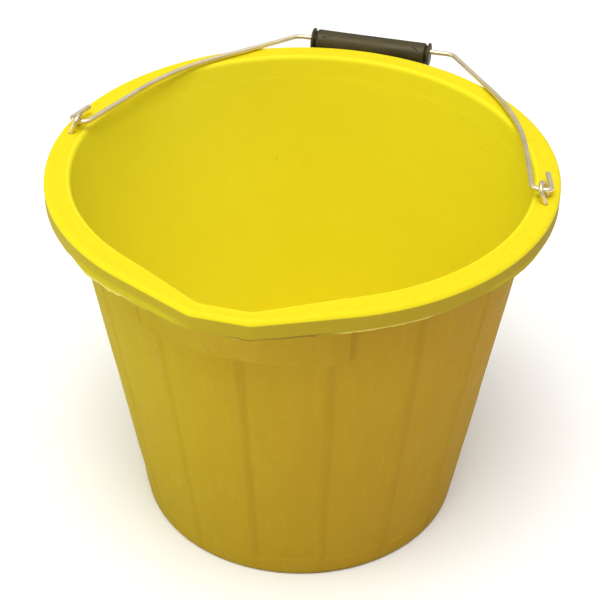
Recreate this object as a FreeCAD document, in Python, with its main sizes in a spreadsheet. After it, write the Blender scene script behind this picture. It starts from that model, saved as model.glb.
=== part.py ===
import FreeCAD, Part

import math
import os

import Sketcher
from FreeCAD import Placement, Rotation, Vector

# Builder's mixing bucket: a tapered, ribbed plastic shell with a turned-over
# rim and a pouring lip, two wire staples through the rim as ears, a steel wire
# bail that lies back on the rim, and a loose plastic grip on the bail.
# Origin: centre of the foot, on the ground. +Z up, the lip towards -Y, the
# ears on the X axis. Millimetres and degrees.

doc = FreeCAD.newDocument("mixing_bucket")

# ---------------------------------------------------------------- dimensions
SIZES = [
    # shell
    ("height", 262.4, "overall height of the shell, foot to rim top"),
    ("base_radius", 111.7, "outer radius of the wall, carried down to the ground"),
    ("wall_slope", 0.1578, "growth of the radius for each mm of height"),
    ("wall", 2.9, "wall thickness, level"),
    ("floor_thick", 3.2, "thickness of the floor above the foot recess"),
    ("foot_recess", 3.0, "depth of the recess under the floor"),
    ("foot_width", 7.5, "width of the ring that the bucket stands on"),
    ("band_height", 16.0, "height of the plain band at the base"),
    ("band_proud", 0.6, "how far the band stands out of the wall"),
    ("ledge_depth", 16.0, "depth of the small ledge inside the mouth"),
    ("ledge_width", 0.5, "width of that ledge"),
    # ribs
    ("rib_angle", 2.4, "angle that one rib covers"),
    ("rib_proud", 1.0, "how far a rib stands out of the wall"),
    ("rib_pitch", 22.5, "angle between ribs"),
    # rim
    ("rim_radius", 167.0, "outer radius of the rim"),
    ("rim_depth", 13.0, "depth of the rim's skirt"),
    ("rim_flange", 3.4, "thickness of the rim's top"),
    ("skirt", 2.6, "thickness of the skirt"),
    ("rim_round", 2.5, "rounding of the rim's outer top edge"),
    ("foot_round", 2.5, "rounding of the base's outer edge"),
    # pouring lip
    ("lip_reach", 175.4, "distance from the axis to the rim's outer face at the lip"),
    ("lip_angle", 24.8, "half the angle over which the lip leaves the round rim"),
    ("lip_corner", 9.0, "rounding of the lip's two outer corners"),
    ("lip_inner_reach", 165.0, "the same distance for the mouth's edge"),
    ("lip_inner_half", 16.5, "half the width of the mouth's blunt tip"),
    ("lip_inner_angle", 32.3, "half the angle over which the mouth leaves its circle"),
    ("spout_start", 212.0, "height at which the inside starts to flare"),
    ("apron_start", 209.3, "height at which the outside starts to flare"),
    ("apron_angle", 27.0, "half the angle that the apron covers"),
    ("apron_proud", 1.2, "how far the apron's sides stand out of the wall"),
    # staples
    ("staple_wire", 3.1, "diameter of the staple wire"),
    ("staple_radius", 159.0, "distance from the axis to the legs at the rim top"),
    ("staple_span", 11.0, "distance between the legs"),
    ("staple_lean", 22.0, "how far the staples lean inwards"),
    ("staple_rise", 11.4, "height of the loop's centre line over the rim, along the lean"),
    ("staple_drop", 6.4, "depth of the clinched ends' centre line under the rim top"),
    ("staple_bend", 2.4, "centre-line radius of the clinch"),
    ("staple_toe", 5.5, "length of each clinched end after its bend"),
    ("staple_hole", 3.4, "diameter of the holes for the legs"),
    # bail
    ("bail_wire_dia", 3.5, "diameter of the bail wire"),
    ("pivot_height", 268.9, "height of the pivot line"),
    ("bail_rest", 1.72, "how far the bail droops below level at rest"),
    ("tail_x", 156.3, "end of the tail, across"),
    ("tail_y", 21.5, "end of the tail, along"),
    ("hook_outer_x", 162.1, "corner between the tail and the pivot length"),
    ("hook_outer_round", 3.6, "its centre-line radius"),
    ("hook_inner_x", 149.4, "corner between the pivot length and the arm"),
    ("hook_inner_round", 5.2, "its centre-line radius"),
    ("arm_left_x", 121.8, "corner in the left arm, across"),
    ("arm_left_y", 91.5, "corner in the left arm, along"),
    ("arm_right_x", 128.6, "corner in the right arm, across"),
    ("arm_right_y", 90.4, "corner in the right arm, along"),
    ("arm_round", 205.0, "centre-line radius of both"),
    ("bend_left_x", 51.0, "corner at the left end of the grip length, across"),
    ("bend_left_y", 172.9, "the same, along"),
    ("bend_right_x", 64.5, "corner at the right end of the grip length, across"),
    ("bend_right_y", 175.7, "the same, along"),
    ("bend_round", 8.0, "centre-line radius of both"),
    # grip
    ("grip_length", 88.5, "length of the grip"),
    ("grip_shift", -3.0, "how far the grip sits from the middle of its length of wire"),
    ("grip_dia", 16.8, "diameter of the grip's barrel"),
    ("grip_end_dia", 18.0, "diameter of its end collars"),
    ("grip_collar", 3.2, "length of an end collar"),
    ("grip_groove", 1.8, "width of the groove behind a collar"),
    ("grip_groove_depth", 1.1, "depth of that groove"),
    ("grip_drop", 3.6, "how far the barrel's centre hangs from the wire"),
    ("grip_tilt", 1.3, "how far the barrel slopes down to the right of the wire"),
    ("grip_swing", 31.0, "how far the grip is held out by the rim, off straight down"),
    ("grip_bore", 3.66, "diameter of the hole for the wire"),
]

sheet = doc.addObject("Spreadsheet::Sheet", "dims")
for row, (alias, value, note) in enumerate(SIZES, start=1):
    sheet.set(f"A{row}", note)
    sheet.set(f"B{row}", str(value))
    sheet.setAlias(f"B{row}", alias)
doc.recompute()


def val(name):
    return float(getattr(sheet, name))


# ---------------------------------------------------------------- helpers
def plane(body, role):
    for f in body.Origin.OriginFeatures:
        if f.Role == role:
            return f
    raise RuntimeError("no plane " + role)


def new_body(name):
    b = doc.addObject("PartDesign::Body", name)
    b.Label = name
    return b


def new_sketch(body, name, role="XY_Plane", offset=None, exprs=None):
    s = body.newObject("Sketcher::SketchObject", name)
    s.AttachmentSupport = [(plane(body, role), "")]
    s.MapMode = "FlatFace"
    if offset is not None:
        s.AttachmentOffset = offset
    for prop, text in (exprs or {}).items():
        s.setExpression(prop, text)
    return s


def number(text):
    """Start value of an expression, so that a sketch is drawn near its solution."""
    scope = {a: v for a, v, _ in SIZES}
    for a in sorted(scope, key=len, reverse=True):
        text = text.replace("dims." + a, "(%r)" % scope[a])
    return calc(text)


def calc(text):
    """The value of + - * / ( ) and sin, cos, tan of degrees, for number()."""
    pos = 0

    def skip():
        nonlocal pos
        while pos < len(text) and text[pos] == " ":
            pos += 1

    def atom():
        nonlocal pos
        skip()
        if text[pos] == "-":
            pos += 1
            return -atom()
        if text[pos] == "(":
            pos += 1
            v = total()
            skip()
            pos += 1
            return v
        if text[pos].isalpha():
            start = pos
            while text[pos].isalpha():
                pos += 1
            name = text[start:pos]
            v = atom()
            return {
                "sin": lambda a: math.sin(math.radians(a)),
                "cos": lambda a: math.cos(math.radians(a)),
                "tan": lambda a: math.tan(math.radians(a)),
                "sqrt": math.sqrt,
            }[name](v)
        start = pos
        while pos < len(text) and (text[pos].isdigit() or text[pos] == "."):
            pos += 1
        return float(text[start:pos])

    def product():
        nonlocal pos
        v = atom()
        skip()
        while pos < len(text) and text[pos] in "*/":
            op = text[pos]
            pos += 1
            w = atom()
            v = v * w if op == "*" else v / w
            skip()
        return v

    def total():
        nonlocal pos
        v = product()
        skip()
        while pos < len(text) and text[pos] in "+-":
            op = text[pos]
            pos += 1
            w = product()
            v = v + w if op == "+" else v - w
            skip()
        return v

    return total()


def pin_point(sk, geo, end, x, y, tag):
    """Holds one end of a sketch line at (x, y), each an expression on the sheet."""
    for axis, kind, text, line in (("x", "DistanceX", x, -2), ("y", "DistanceY", y, -1)):
        value = number(text)
        if abs(value) < 1e-9:
            sk.addConstraint(Sketcher.Constraint("PointOnObject", geo, end, line))
            continue
        # a dimension is kept positive, and runs from the origin or to it
        if value > 0:
            c = Sketcher.Constraint(kind, -1, 1, geo, end, value)
        else:
            c = Sketcher.Constraint(kind, geo, end, -1, 1, -value)
            text = "-(" + text + ")"
        i = sk.addConstraint(c)
        name = f"{tag}{axis}"
        sk.renameConstraint(i, name)
        sk.setExpression("Constraints." + name, text)


def polygon(sk, points):
    """A closed outline through points given as pairs of expressions."""
    n = len(points)
    xy = [Vector(number(a), number(b), 0) for a, b in points]
    first = sk.GeometryCount
    for i in range(n):
        sk.addGeometry(Part.LineSegment(xy[i], xy[(i + 1) % n]), False)
    for i in range(n):
        sk.addConstraint(
            Sketcher.Constraint("Coincident", first + i, 2, first + (i + 1) % n, 1)
        )
    for i, (a, b) in enumerate(points):
        pin_point(sk, first + i, 1, a, b, f"p{first + i}")


def rounded_path(sk, points, radii, closed=False):
    """Straight runs joined by tangent arcs. points are pairs of expressions, and
    radii holds the radius expression at each inner point. Each run's two lines are
    held by construction corners, so the corner positions stay dimensions."""
    xy = [Vector(number(a), number(b), 0) for a, b in points]
    cuts = []
    for i in range(1, len(xy) - 1):
        r = number(radii[i - 1])
        d0 = (xy[i] - xy[i - 1]).normalize()
        d1 = (xy[i + 1] - xy[i]).normalize()
        turn = d0.getAngle(d1)
        t = r * math.tan(turn / 2)
        a, b = xy[i] - d0 * t, xy[i] + d1 * t
        side = 1 if d0.x * d1.y - d0.y * d1.x > 0 else -1
        normal = Vector(-d0.y, d0.x, 0) * side
        centre = a + normal * r
        mid = centre + ((xy[i] - centre).normalize()) * r
        cuts.append((a, mid, b))
    lines, arcs = [], []
    start = xy[0]
    for i, (a, mid, b) in enumerate(cuts):
        lines.append(sk.addGeometry(Part.LineSegment(start, a), False))
        arcs.append(sk.addGeometry(Part.Arc(a, mid, b), False))
        start = b
    lines.append(sk.addGeometry(Part.LineSegment(start, xy[-1]), False))
    # which end of an arc its geometry calls the start
    for k, (a, mid, b) in enumerate(cuts):
        p = sk.getPoint(arcs[k], 1)
        head, tail = (1, 2) if (p - a).Length < (p - b).Length else (2, 1)
        sk.addConstraint(Sketcher.Constraint("Tangent", lines[k], 2, arcs[k], head))
        sk.addConstraint(Sketcher.Constraint("Tangent", arcs[k], tail, lines[k + 1], 1))
        i = sk.addConstraint(Sketcher.Constraint("Radius", arcs[k], number(radii[k])))
        name = f"r{arcs[k]}"
        sk.renameConstraint(i, name)
        sk.setExpression("Constraints." + name, radii[k])
    pin_point(sk, lines[0], 1, *points[0], f"a{lines[0]}")
    pin_point(sk, lines[-1], 2, *points[-1], f"z{lines[-1]}")
    for k, (a, b) in enumerate(points[1:-1]):
        corner = sk.addGeometry(Part.Point(xy[k + 1]), True)
        sk.addConstraint(Sketcher.Constraint("PointOnObject", corner, 1, lines[k]))
        sk.addConstraint(Sketcher.Constraint("PointOnObject", corner, 1, lines[k + 1]))
        pin_point(sk, corner, 1, a, b, f"c{corner}")
    return lines, arcs


def lip_plan(sk, radius, reach, angle, corner):
    """Plan outline of the rim: a circle that two tangent lines carry out to a
    blunt tip towards -y, with rounded corners. All four are expressions."""
    R, L, A, c = (number(x) for x in (radius, reach, angle, corner))
    a = math.radians(A)
    # corner where the tangent line meets the tip's line y = -L
    sx = R * math.sin(a)
    sy = -R * math.cos(a)
    run = (L - R * math.cos(a)) / math.sin(a)
    cx = sx - run * math.cos(a)
    t = c * math.tan(a / 2)
    # right side, going from the circle to the tip
    p_circle = Vector(sx, sy, 0)
    p_in = Vector(cx + t * math.cos(a), -L + t * math.sin(a), 0)
    p_tip = Vector(cx - t, -L, 0)
    mid_dir = Vector(math.sin(a / 2), -math.cos(a / 2), 0)
    centre = Vector(cx - t, -L + c, 0)
    p_mid = centre + mid_dir * c

    def mirror(v):
        return Vector(-v.x, v.y, 0)

    big = sk.addGeometry(Part.Arc(p_circle, Vector(0, R, 0), mirror(p_circle)), False)
    l1 = sk.addGeometry(Part.LineSegment(mirror(p_circle), mirror(p_in)), False)
    k1 = sk.addGeometry(Part.Arc(mirror(p_in), mirror(p_mid), mirror(p_tip)), False)
    tip = sk.addGeometry(Part.LineSegment(mirror(p_tip), p_tip), False)
    k2 = sk.addGeometry(Part.Arc(p_tip, p_mid, p_in), False)
    l2 = sk.addGeometry(Part.LineSegment(p_in, p_circle), False)
    sk.addConstraint(Sketcher.Constraint("Coincident", big, 3, -1, 1))
    for g0, e0, g1, e1 in (
        (big, 2, l1, 1),
        (l1, 2, k1, 1),
        (k1, 2, tip, 1),
        (tip, 2, k2, 1),
        (k2, 2, l2, 1),
        (l2, 2, big, 1),
    ):
        sk.addConstraint(Sketcher.Constraint("Tangent", g0, e0, g1, e1))
    sk.addConstraint(Sketcher.Constraint("Equal", k1, k2))
    for c0, name, text in (
        (Sketcher.Constraint("Radius", big, R), "radius", radius),
        (Sketcher.Constraint("Radius", k1, c), "corner", corner),
        (Sketcher.Constraint("DistanceY", tip, 1, -1, 1, L), "reach", reach),
        (
            Sketcher.Constraint("DistanceX", -1, 1, l2, 2, sx),
            "leave_right",
            f"({radius}) * sin({angle} * 1 deg)",
        ),
        (
            Sketcher.Constraint("DistanceX", l1, 1, -1, 1, sx),
            "leave_left",
            f"({radius}) * sin({angle} * 1 deg)",
        ),
    ):
        i = sk.addConstraint(c0)
        sk.renameConstraint(i, name)
        sk.setExpression("Constraints." + name, text)


def settle(obj=None):
    doc.recompute()
    bad = [o.Name for o in doc.Objects if {"Invalid", "Error"} & set(o.State)]
    if bad:
        raise RuntimeError("failed: " + ", ".join(bad))


def changed(body, before, sign, what):
    """The body's volume after a feature, which must have grown or shrunk."""
    settle()
    now = body.Shape.Volume
    if (now - before) * sign <= 1.0:
        raise RuntimeError(f"{what} did nothing: {before:.1f} to {now:.1f}")
    print(f"  {what}: {before / 1000:.1f} to {now / 1000:.1f} cm3")
    return now


# ================================================================ shell
shell = new_body("bucket_shell")

# rim: one plate on the lip plan, as deep as the skirt
rim_sk = new_sketch(
    shell,
    "rim_plan",
    offset=Placement(Vector(0, 0, val("height") - val("rim_depth")), Rotation()),
    exprs={"AttachmentOffset.Base.z": "dims.height - dims.rim_depth"},
)
lip_plan(rim_sk, "dims.rim_radius", "dims.lip_reach", "dims.lip_angle", "dims.lip_corner")
rim = shell.newObject("PartDesign::Pad", "rim_block")
rim.Profile = rim_sk
rim.Length = val("rim_depth")
rim.setExpression("Length", "dims.rim_depth")
settle()
volume = shell.Shape.Volume

# rounded outer top edge
top = [
    f"Edge{i + 1}"
    for i, e in enumerate(rim.Shape.Edges)
    if abs(e.BoundBox.ZMin - val("height")) < 1e-4
]
rim_fillet = shell.newObject("PartDesign::Fillet", "rim_rounding")
rim_fillet.Base = (rim, top)
rim_fillet.Radius = val("rim_round")
rim_fillet.setExpression("Radius", "dims.rim_round")
volume = changed(shell, volume, -1, "rim rounding")

# hollow under the rim, between the skirt and the wall
under_sk = new_sketch(
    shell,
    "rim_hollow_plan",
    offset=Placement(Vector(0, 0, val("height") - val("rim_depth")), Rotation()),
    exprs={"AttachmentOffset.Base.z": "dims.height - dims.rim_depth"},
)
lip_plan(
    under_sk,
    "dims.rim_radius - dims.skirt",
    "dims.lip_reach - dims.skirt",
    "dims.lip_angle",
    "dims.lip_corner - dims.skirt",
)
under = shell.newObject("PartDesign::Pocket", "rim_hollow")
under.Profile = under_sk
under.Length = val("rim_depth") - val("rim_flange")
under.setExpression("Length", "dims.rim_depth - dims.rim_flange")
under.Reversed = True
volume = changed(shell, volume, -1, "rim hollow")

# tapered wall as a solid, with the plain band at its base
RIN = "(dims.base_radius - dims.wall)"
wall_sk = new_sketch(shell, "wall_section", "XZ_Plane")
polygon(
    wall_sk,
    [
        ("0", "0"),
        ("dims.base_radius + dims.band_proud", "0"),
        (
            "dims.base_radius + dims.band_proud + dims.wall_slope * dims.band_height",
            "dims.band_height",
        ),
        (
            "dims.base_radius + dims.wall_slope * (dims.band_height + dims.band_proud)",
            "dims.band_height + dims.band_proud",
        ),
        (
            "dims.base_radius + dims.wall_slope * (dims.height - 1)",
            "dims.height - 1",
        ),
        ("0", "dims.height - 1"),
    ],
)
wall = shell.newObject("PartDesign::Revolution", "wall_cone")
wall.Profile = wall_sk
wall.ReferenceAxis = (wall_sk, ["V_Axis"])
wall.Angle = 360.0
volume = changed(shell, volume, 1, "wall cone")

# rounded base edge
foot_edge = [
    f"Edge{i + 1}"
    for i, e in enumerate(wall.Shape.Edges)
    if abs(e.BoundBox.ZMax) < 1e-4 and abs(e.BoundBox.XMax - (val("base_radius") + val("band_proud"))) < 0.01
]
foot_fillet = shell.newObject("PartDesign::Fillet", "foot_rounding")
foot_fillet.Base = (wall, foot_edge)
foot_fillet.Radius = val("foot_round")
foot_fillet.setExpression("Radius", "dims.foot_round")
volume = changed(shell, volume, -1, "foot rounding")

# apron: the proud panel that carries the wall out to the lip. Its lower section
# lies on the wall, its upper one follows the lip plan a wall's thickness outside
# the mouth.
A = "dims.apron_angle"
R0 = "(dims.base_radius + dims.apron_proud + dims.wall_slope * dims.apron_start)"
R1 = "(dims.base_radius + dims.apron_proud + dims.wall_slope * (dims.height - 1))"
apron_low = new_sketch(
    shell,
    "apron_low",
    offset=Placement(Vector(0, 0, val("apron_start")), Rotation()),
    exprs={"AttachmentOffset.Base.z": "dims.apron_start"},
)
sinA, cosA = f"sin({A})", f"cos({A})"


def sector(sk, rad, half_x, tip_y, inner="0.9"):
    """Closed outline: side, flank, tip, flank, side and a chord across the inside."""
    polygon(
        sk,
        [
            (f"-{rad} * {inner} * {sinA}", f"-{rad} * {inner} * {cosA}"),
            (f"-{rad} * {sinA}", f"-{rad} * {cosA}"),
            (f"-{half_x}", f"-{tip_y}"),
            (f"{half_x}", f"-{tip_y}"),
            (f"{rad} * {sinA}", f"-{rad} * {cosA}"),
            (f"{rad} * {inner} * {sinA}", f"-{rad} * {inner} * {cosA}"),
        ],
    )


def arc_sector(sk, rad, split, inner="0.9"):
    """The same outline as sector(), with its flanks and tip on one circle that is
    split at +-split degrees from the lip's middle."""
    R = number(rad)
    a, s = val("apron_angle"), number(split)

    def at(radius, angle):
        t = math.radians(-90 + angle)
        return Vector(radius * math.cos(t), radius * math.sin(t), 0)

    f = number(inner)
    pts = [at(R * f, -a), at(R, -a), at(R, -s), at(R, s), at(R, a), at(R * f, a)]
    mids = {1: at(R, -(a + s) / 2), 2: at(R, 0), 3: at(R, (a + s) / 2)}
    n = len(pts)
    for i in range(n):
        p, q = pts[i], pts[(i + 1) % n]
        if i in mids:
            sk.addGeometry(Part.Arc(p, mids[i], q), False)
        else:
            sk.addGeometry(Part.LineSegment(p, q), False)
    for i in range(n):
        sk.addConstraint(Sketcher.Constraint("Coincident", i, 2, (i + 1) % n, 1))
    for i in mids:
        sk.addConstraint(Sketcher.Constraint("Coincident", i, 3, -1, 1))
    k = sk.addConstraint(Sketcher.Constraint("Radius", 1, R))
    sk.renameConstraint(k, "radius")
    sk.setExpression("Constraints.radius", rad)
    for geo, end, radius, angle, tag in (
        (0, 1, f"{rad} * {inner}", f"-{A}", "a"),
        (0, 2, rad, f"-{A}", "b"),
        (2, 1, rad, f"-{split}", "c"),
        (2, 2, rad, split, "d"),
        (4, 1, rad, A, "e"),
        (5, 1, f"{rad} * {inner}", A, "f"),
    ):
        x = f"{radius} * sin({A if 'apron' in angle else split})"
        if angle.startswith("-"):
            x = "-" + x
        y = f"-{radius} * cos({A if 'apron' in angle else split})"
        if radius == rad:
            # on the circle already, so one dimension is enough
            value = number(x)
            c = (
                Sketcher.Constraint("DistanceX", -1, 1, geo, end, value)
                if value > 0
                else Sketcher.Constraint("DistanceX", geo, end, -1, 1, -value)
            )
            k = sk.addConstraint(c)
            sk.renameConstraint(k, tag + "x")
            sk.setExpression("Constraints." + tag + "x", x if value > 0 else f"-({x})")
        else:
            pin_point(sk, geo, end, x, y, tag)


arc_sector(apron_low, R0, "6.0")
apron_high = new_sketch(
    shell,
    "apron_high",
    offset=Placement(Vector(0, 0, val("height") - 1), Rotation()),
    exprs={"AttachmentOffset.Base.z": "dims.height - 1"},
)
sector(
    apron_high,
    R1,
    "(dims.lip_inner_half + 0.3)",
    "(dims.lip_inner_reach + dims.wall)",
)
apron = shell.newObject("PartDesign::AdditiveLoft", "apron")
apron.Profile = apron_low
apron.Sections = [apron_high]
apron.Ruled = True
volume = changed(shell, volume, 1, "apron")


# ribs: raised strips on the wall, all round. Thirteen run up under the rim, and
# the three below the lip stop under the apron.
def rib_section(name, top):
    sk = new_sketch(shell, name, "XZ_Plane")
    rad = lambda height, out: f"dims.base_radius + dims.wall_slope * ({height}) + ({out})"
    polygon(
        sk,
        [
            (rad("dims.band_height - 2", "-1"), "dims.band_height - 2"),
            (rad("dims.band_height - 2", "dims.rib_proud - 0.6"), "dims.band_height - 2"),
            (rad("dims.band_height + 2", "dims.rib_proud"), "dims.band_height + 2"),
            (rad(top, "dims.rib_proud"), top),
            (rad(top, "-1"), top),
        ],
    )
    return sk


def rib_pattern(tag, top, first, count):
    """first is the angle of the first rib from +X, count how many follow it round."""
    global volume
    sk = rib_section("rib_section_" + tag, top)
    sk.AttachmentOffset = Placement(
        Vector(), Rotation(Vector(0, 1, 0), first)
    )
    rib = shell.newObject("PartDesign::Revolution", "rib_" + tag)
    rib.Profile = sk
    rib.ReferenceAxis = (sk, ["V_Axis"])
    rib.Angle = val("rib_angle")
    rib.setExpression("Angle", "dims.rib_angle")
    rib.Midplane = True
    settle()
    one = shell.Shape.Volume - volume
    pattern = shell.newObject("PartDesign::PolarPattern", "ribs_" + tag)
    pattern.Originals = [rib]
    pattern.Axis = (sk, ["V_Axis"])
    pattern.Angle = val("rib_pitch") * (count - 1)
    pattern.setExpression("Angle", f"dims.rib_pitch * {count - 1}")
    pattern.Occurrences = count
    shell.Tip = pattern
    volume = changed(shell, volume, 1, f"{count} ribs, {tag}")
    return one


rib_pattern("round", "dims.height - dims.rim_flange", -45.0, 13)
rib_pattern("front", "dims.apron_start + 1", -112.5, 3)

# inside: the cavity, with its small ledge below the mouth, and a rounded corner
# at the floor
cavity_sk = new_sketch(shell, "cavity_section", "XZ_Plane")
FLOOR = "(dims.foot_recess + dims.floor_thick)"
LEDGE = "(dims.height - dims.ledge_depth)"


def r_in(height, out="0"):
    return f"dims.base_radius - dims.wall + dims.wall_slope * ({height}) + ({out})"


polygon(
    cavity_sk,
    [
        ("0", FLOOR),
        (r_in(f"{FLOOR} + 4", "-4"), FLOOR),
        (r_in(f"{FLOOR} + 1.2", "-1.2"), f"{FLOOR} + 1.2"),
        (r_in(f"{FLOOR} + 4"), f"{FLOOR} + 4"),
        (r_in(LEDGE, "-dims.ledge_width"), LEDGE),
        (r_in(LEDGE), f"{LEDGE} + dims.ledge_width"),
        (r_in("dims.height"), "dims.height"),
        (r_in("dims.height"), "dims.height + 5"),
        ("0", "dims.height + 5"),
    ],
)
cavity = shell.newObject("PartDesign::Groove", "cavity")
cavity.Profile = cavity_sk
cavity.ReferenceAxis = (cavity_sk, ["V_Axis"])
cavity.Angle = 360.0
volume = changed(shell, volume, -1, "cavity")

# inside of the lip: a flared channel from the wall out to the mouth's blunt tip
S = "dims.lip_inner_angle"
RS = "(dims.base_radius - dims.wall + dims.wall_slope * dims.spout_start)"
RT = "(dims.base_radius - dims.wall + dims.wall_slope * dims.height)"
spout_low = new_sketch(
    shell,
    "spout_low",
    offset=Placement(Vector(0, 0, val("spout_start")), Rotation()),
    exprs={"AttachmentOffset.Base.z": "dims.spout_start"},
)
polygon(
    spout_low,
    [
        (f"-{RS} * 0.8 * sin({S})", f"-{RS} * 0.8 * cos({S})"),
        (f"-{RS} * 0.995 * sin({S})", f"-{RS} * 0.995 * cos({S})"),
        (f"-{RS} * 0.995 * sin(6)", f"-{RS} * 0.995 * cos(6)"),
        (f"{RS} * 0.995 * sin(6)", f"-{RS} * 0.995 * cos(6)"),
        (f"{RS} * 0.995 * sin({S})", f"-{RS} * 0.995 * cos({S})"),
        (f"{RS} * 0.8 * sin({S})", f"-{RS} * 0.8 * cos({S})"),
    ],
)
spout_high = new_sketch(
    shell,
    "spout_high",
    offset=Placement(Vector(0, 0, val("height")), Rotation()),
    exprs={"AttachmentOffset.Base.z": "dims.height"},
)
polygon(
    spout_high,
    [
        (f"-{RT} * 0.8 * sin({S})", f"-{RT} * 0.8 * cos({S})"),
        (f"-{RT} * 0.9985 * sin({S})", f"-{RT} * 0.9985 * cos({S})"),
        ("-dims.lip_inner_half", "-dims.lip_inner_reach"),
        ("dims.lip_inner_half", "-dims.lip_inner_reach"),
        (f"{RT} * 0.9985 * sin({S})", f"-{RT} * 0.9985 * cos({S})"),
        (f"{RT} * 0.8 * sin({S})", f"-{RT} * 0.8 * cos({S})"),
    ],
)
spout = shell.newObject("PartDesign::SubtractiveLoft", "spout")
spout.Profile = spout_low
spout.Sections = [spout_high]
spout.Ruled = True
volume = changed(shell, volume, -1, "spout")

# recess under the floor, which leaves the ring that the bucket stands on
recess_sk = new_sketch(shell, "recess_section", "XZ_Plane")
polygon(
    recess_sk,
    [
        ("0", "0"),
        ("dims.base_radius - dims.foot_width", "0"),
        ("dims.base_radius - dims.foot_width - 1", "dims.foot_recess"),
        ("0", "dims.foot_recess"),
    ],
)
recess = shell.newObject("PartDesign::Groove", "foot_recess_cut")
recess.Profile = recess_sk
recess.ReferenceAxis = (recess_sk, ["V_Axis"])
recess.Angle = 360.0
volume = changed(shell, volume, -1, "foot recess")

# holes for the staples' legs, square to the leaning staples
for tag, sign in (("right", 1), ("left", -1)):
    lean = val("staple_lean") * sign
    hole_sk = new_sketch(
        shell,
        "leg_holes_" + tag,
        offset=Placement(
            Vector(sign * val("staple_radius"), 0, val("height")),
            Rotation(Vector(0, 1, 0), -lean),
        ),
        exprs={
            "AttachmentOffset.Base.x": f"{sign} * dims.staple_radius",
            "AttachmentOffset.Base.z": "dims.height",
            "AttachmentOffset.Rotation.Angle": "dims.staple_lean * 1 deg",
        },
    )
    hole_sk.AttachmentOffset = Placement(
        Vector(sign * val("staple_radius"), 0, val("height")),
        Rotation(Vector(0, -sign, 0), val("staple_lean")),
    )
    for k, side in enumerate((1, -1)):
        g = hole_sk.addGeometry(
            Part.Circle(
                Vector(0, side * val("staple_span") / 2, 0), Vector(0, 0, 1), val("staple_hole") / 2
            ),
            False,
        )
        hole_sk.addConstraint(Sketcher.Constraint("PointOnObject", g, 3, -2))
        pin = (
            Sketcher.Constraint("DistanceY", -1, 1, g, 3, val("staple_span") / 2)
            if side > 0
            else Sketcher.Constraint("DistanceY", g, 3, -1, 1, val("staple_span") / 2)
        )
        i = hole_sk.addConstraint(pin)
        hole_sk.renameConstraint(i, f"span{k}")
        hole_sk.setExpression(f"Constraints.span{k}", "dims.staple_span / 2")
        i = hole_sk.addConstraint(Sketcher.Constraint("Diameter", g, val("staple_hole")))
        hole_sk.renameConstraint(i, f"dia{k}")
        hole_sk.setExpression(f"Constraints.dia{k}", "dims.staple_hole")
    holes = shell.newObject("PartDesign::Pocket", "leg_holes_cut_" + tag)
    holes.Profile = hole_sk
    holes.Midplane = True
    holes.Length = 2 * (val("rim_flange") + 2)
    holes.setExpression("Length", "2 * (dims.rim_flange + 2)")
    volume = changed(shell, volume, -1, "leg holes, " + tag)


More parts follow.
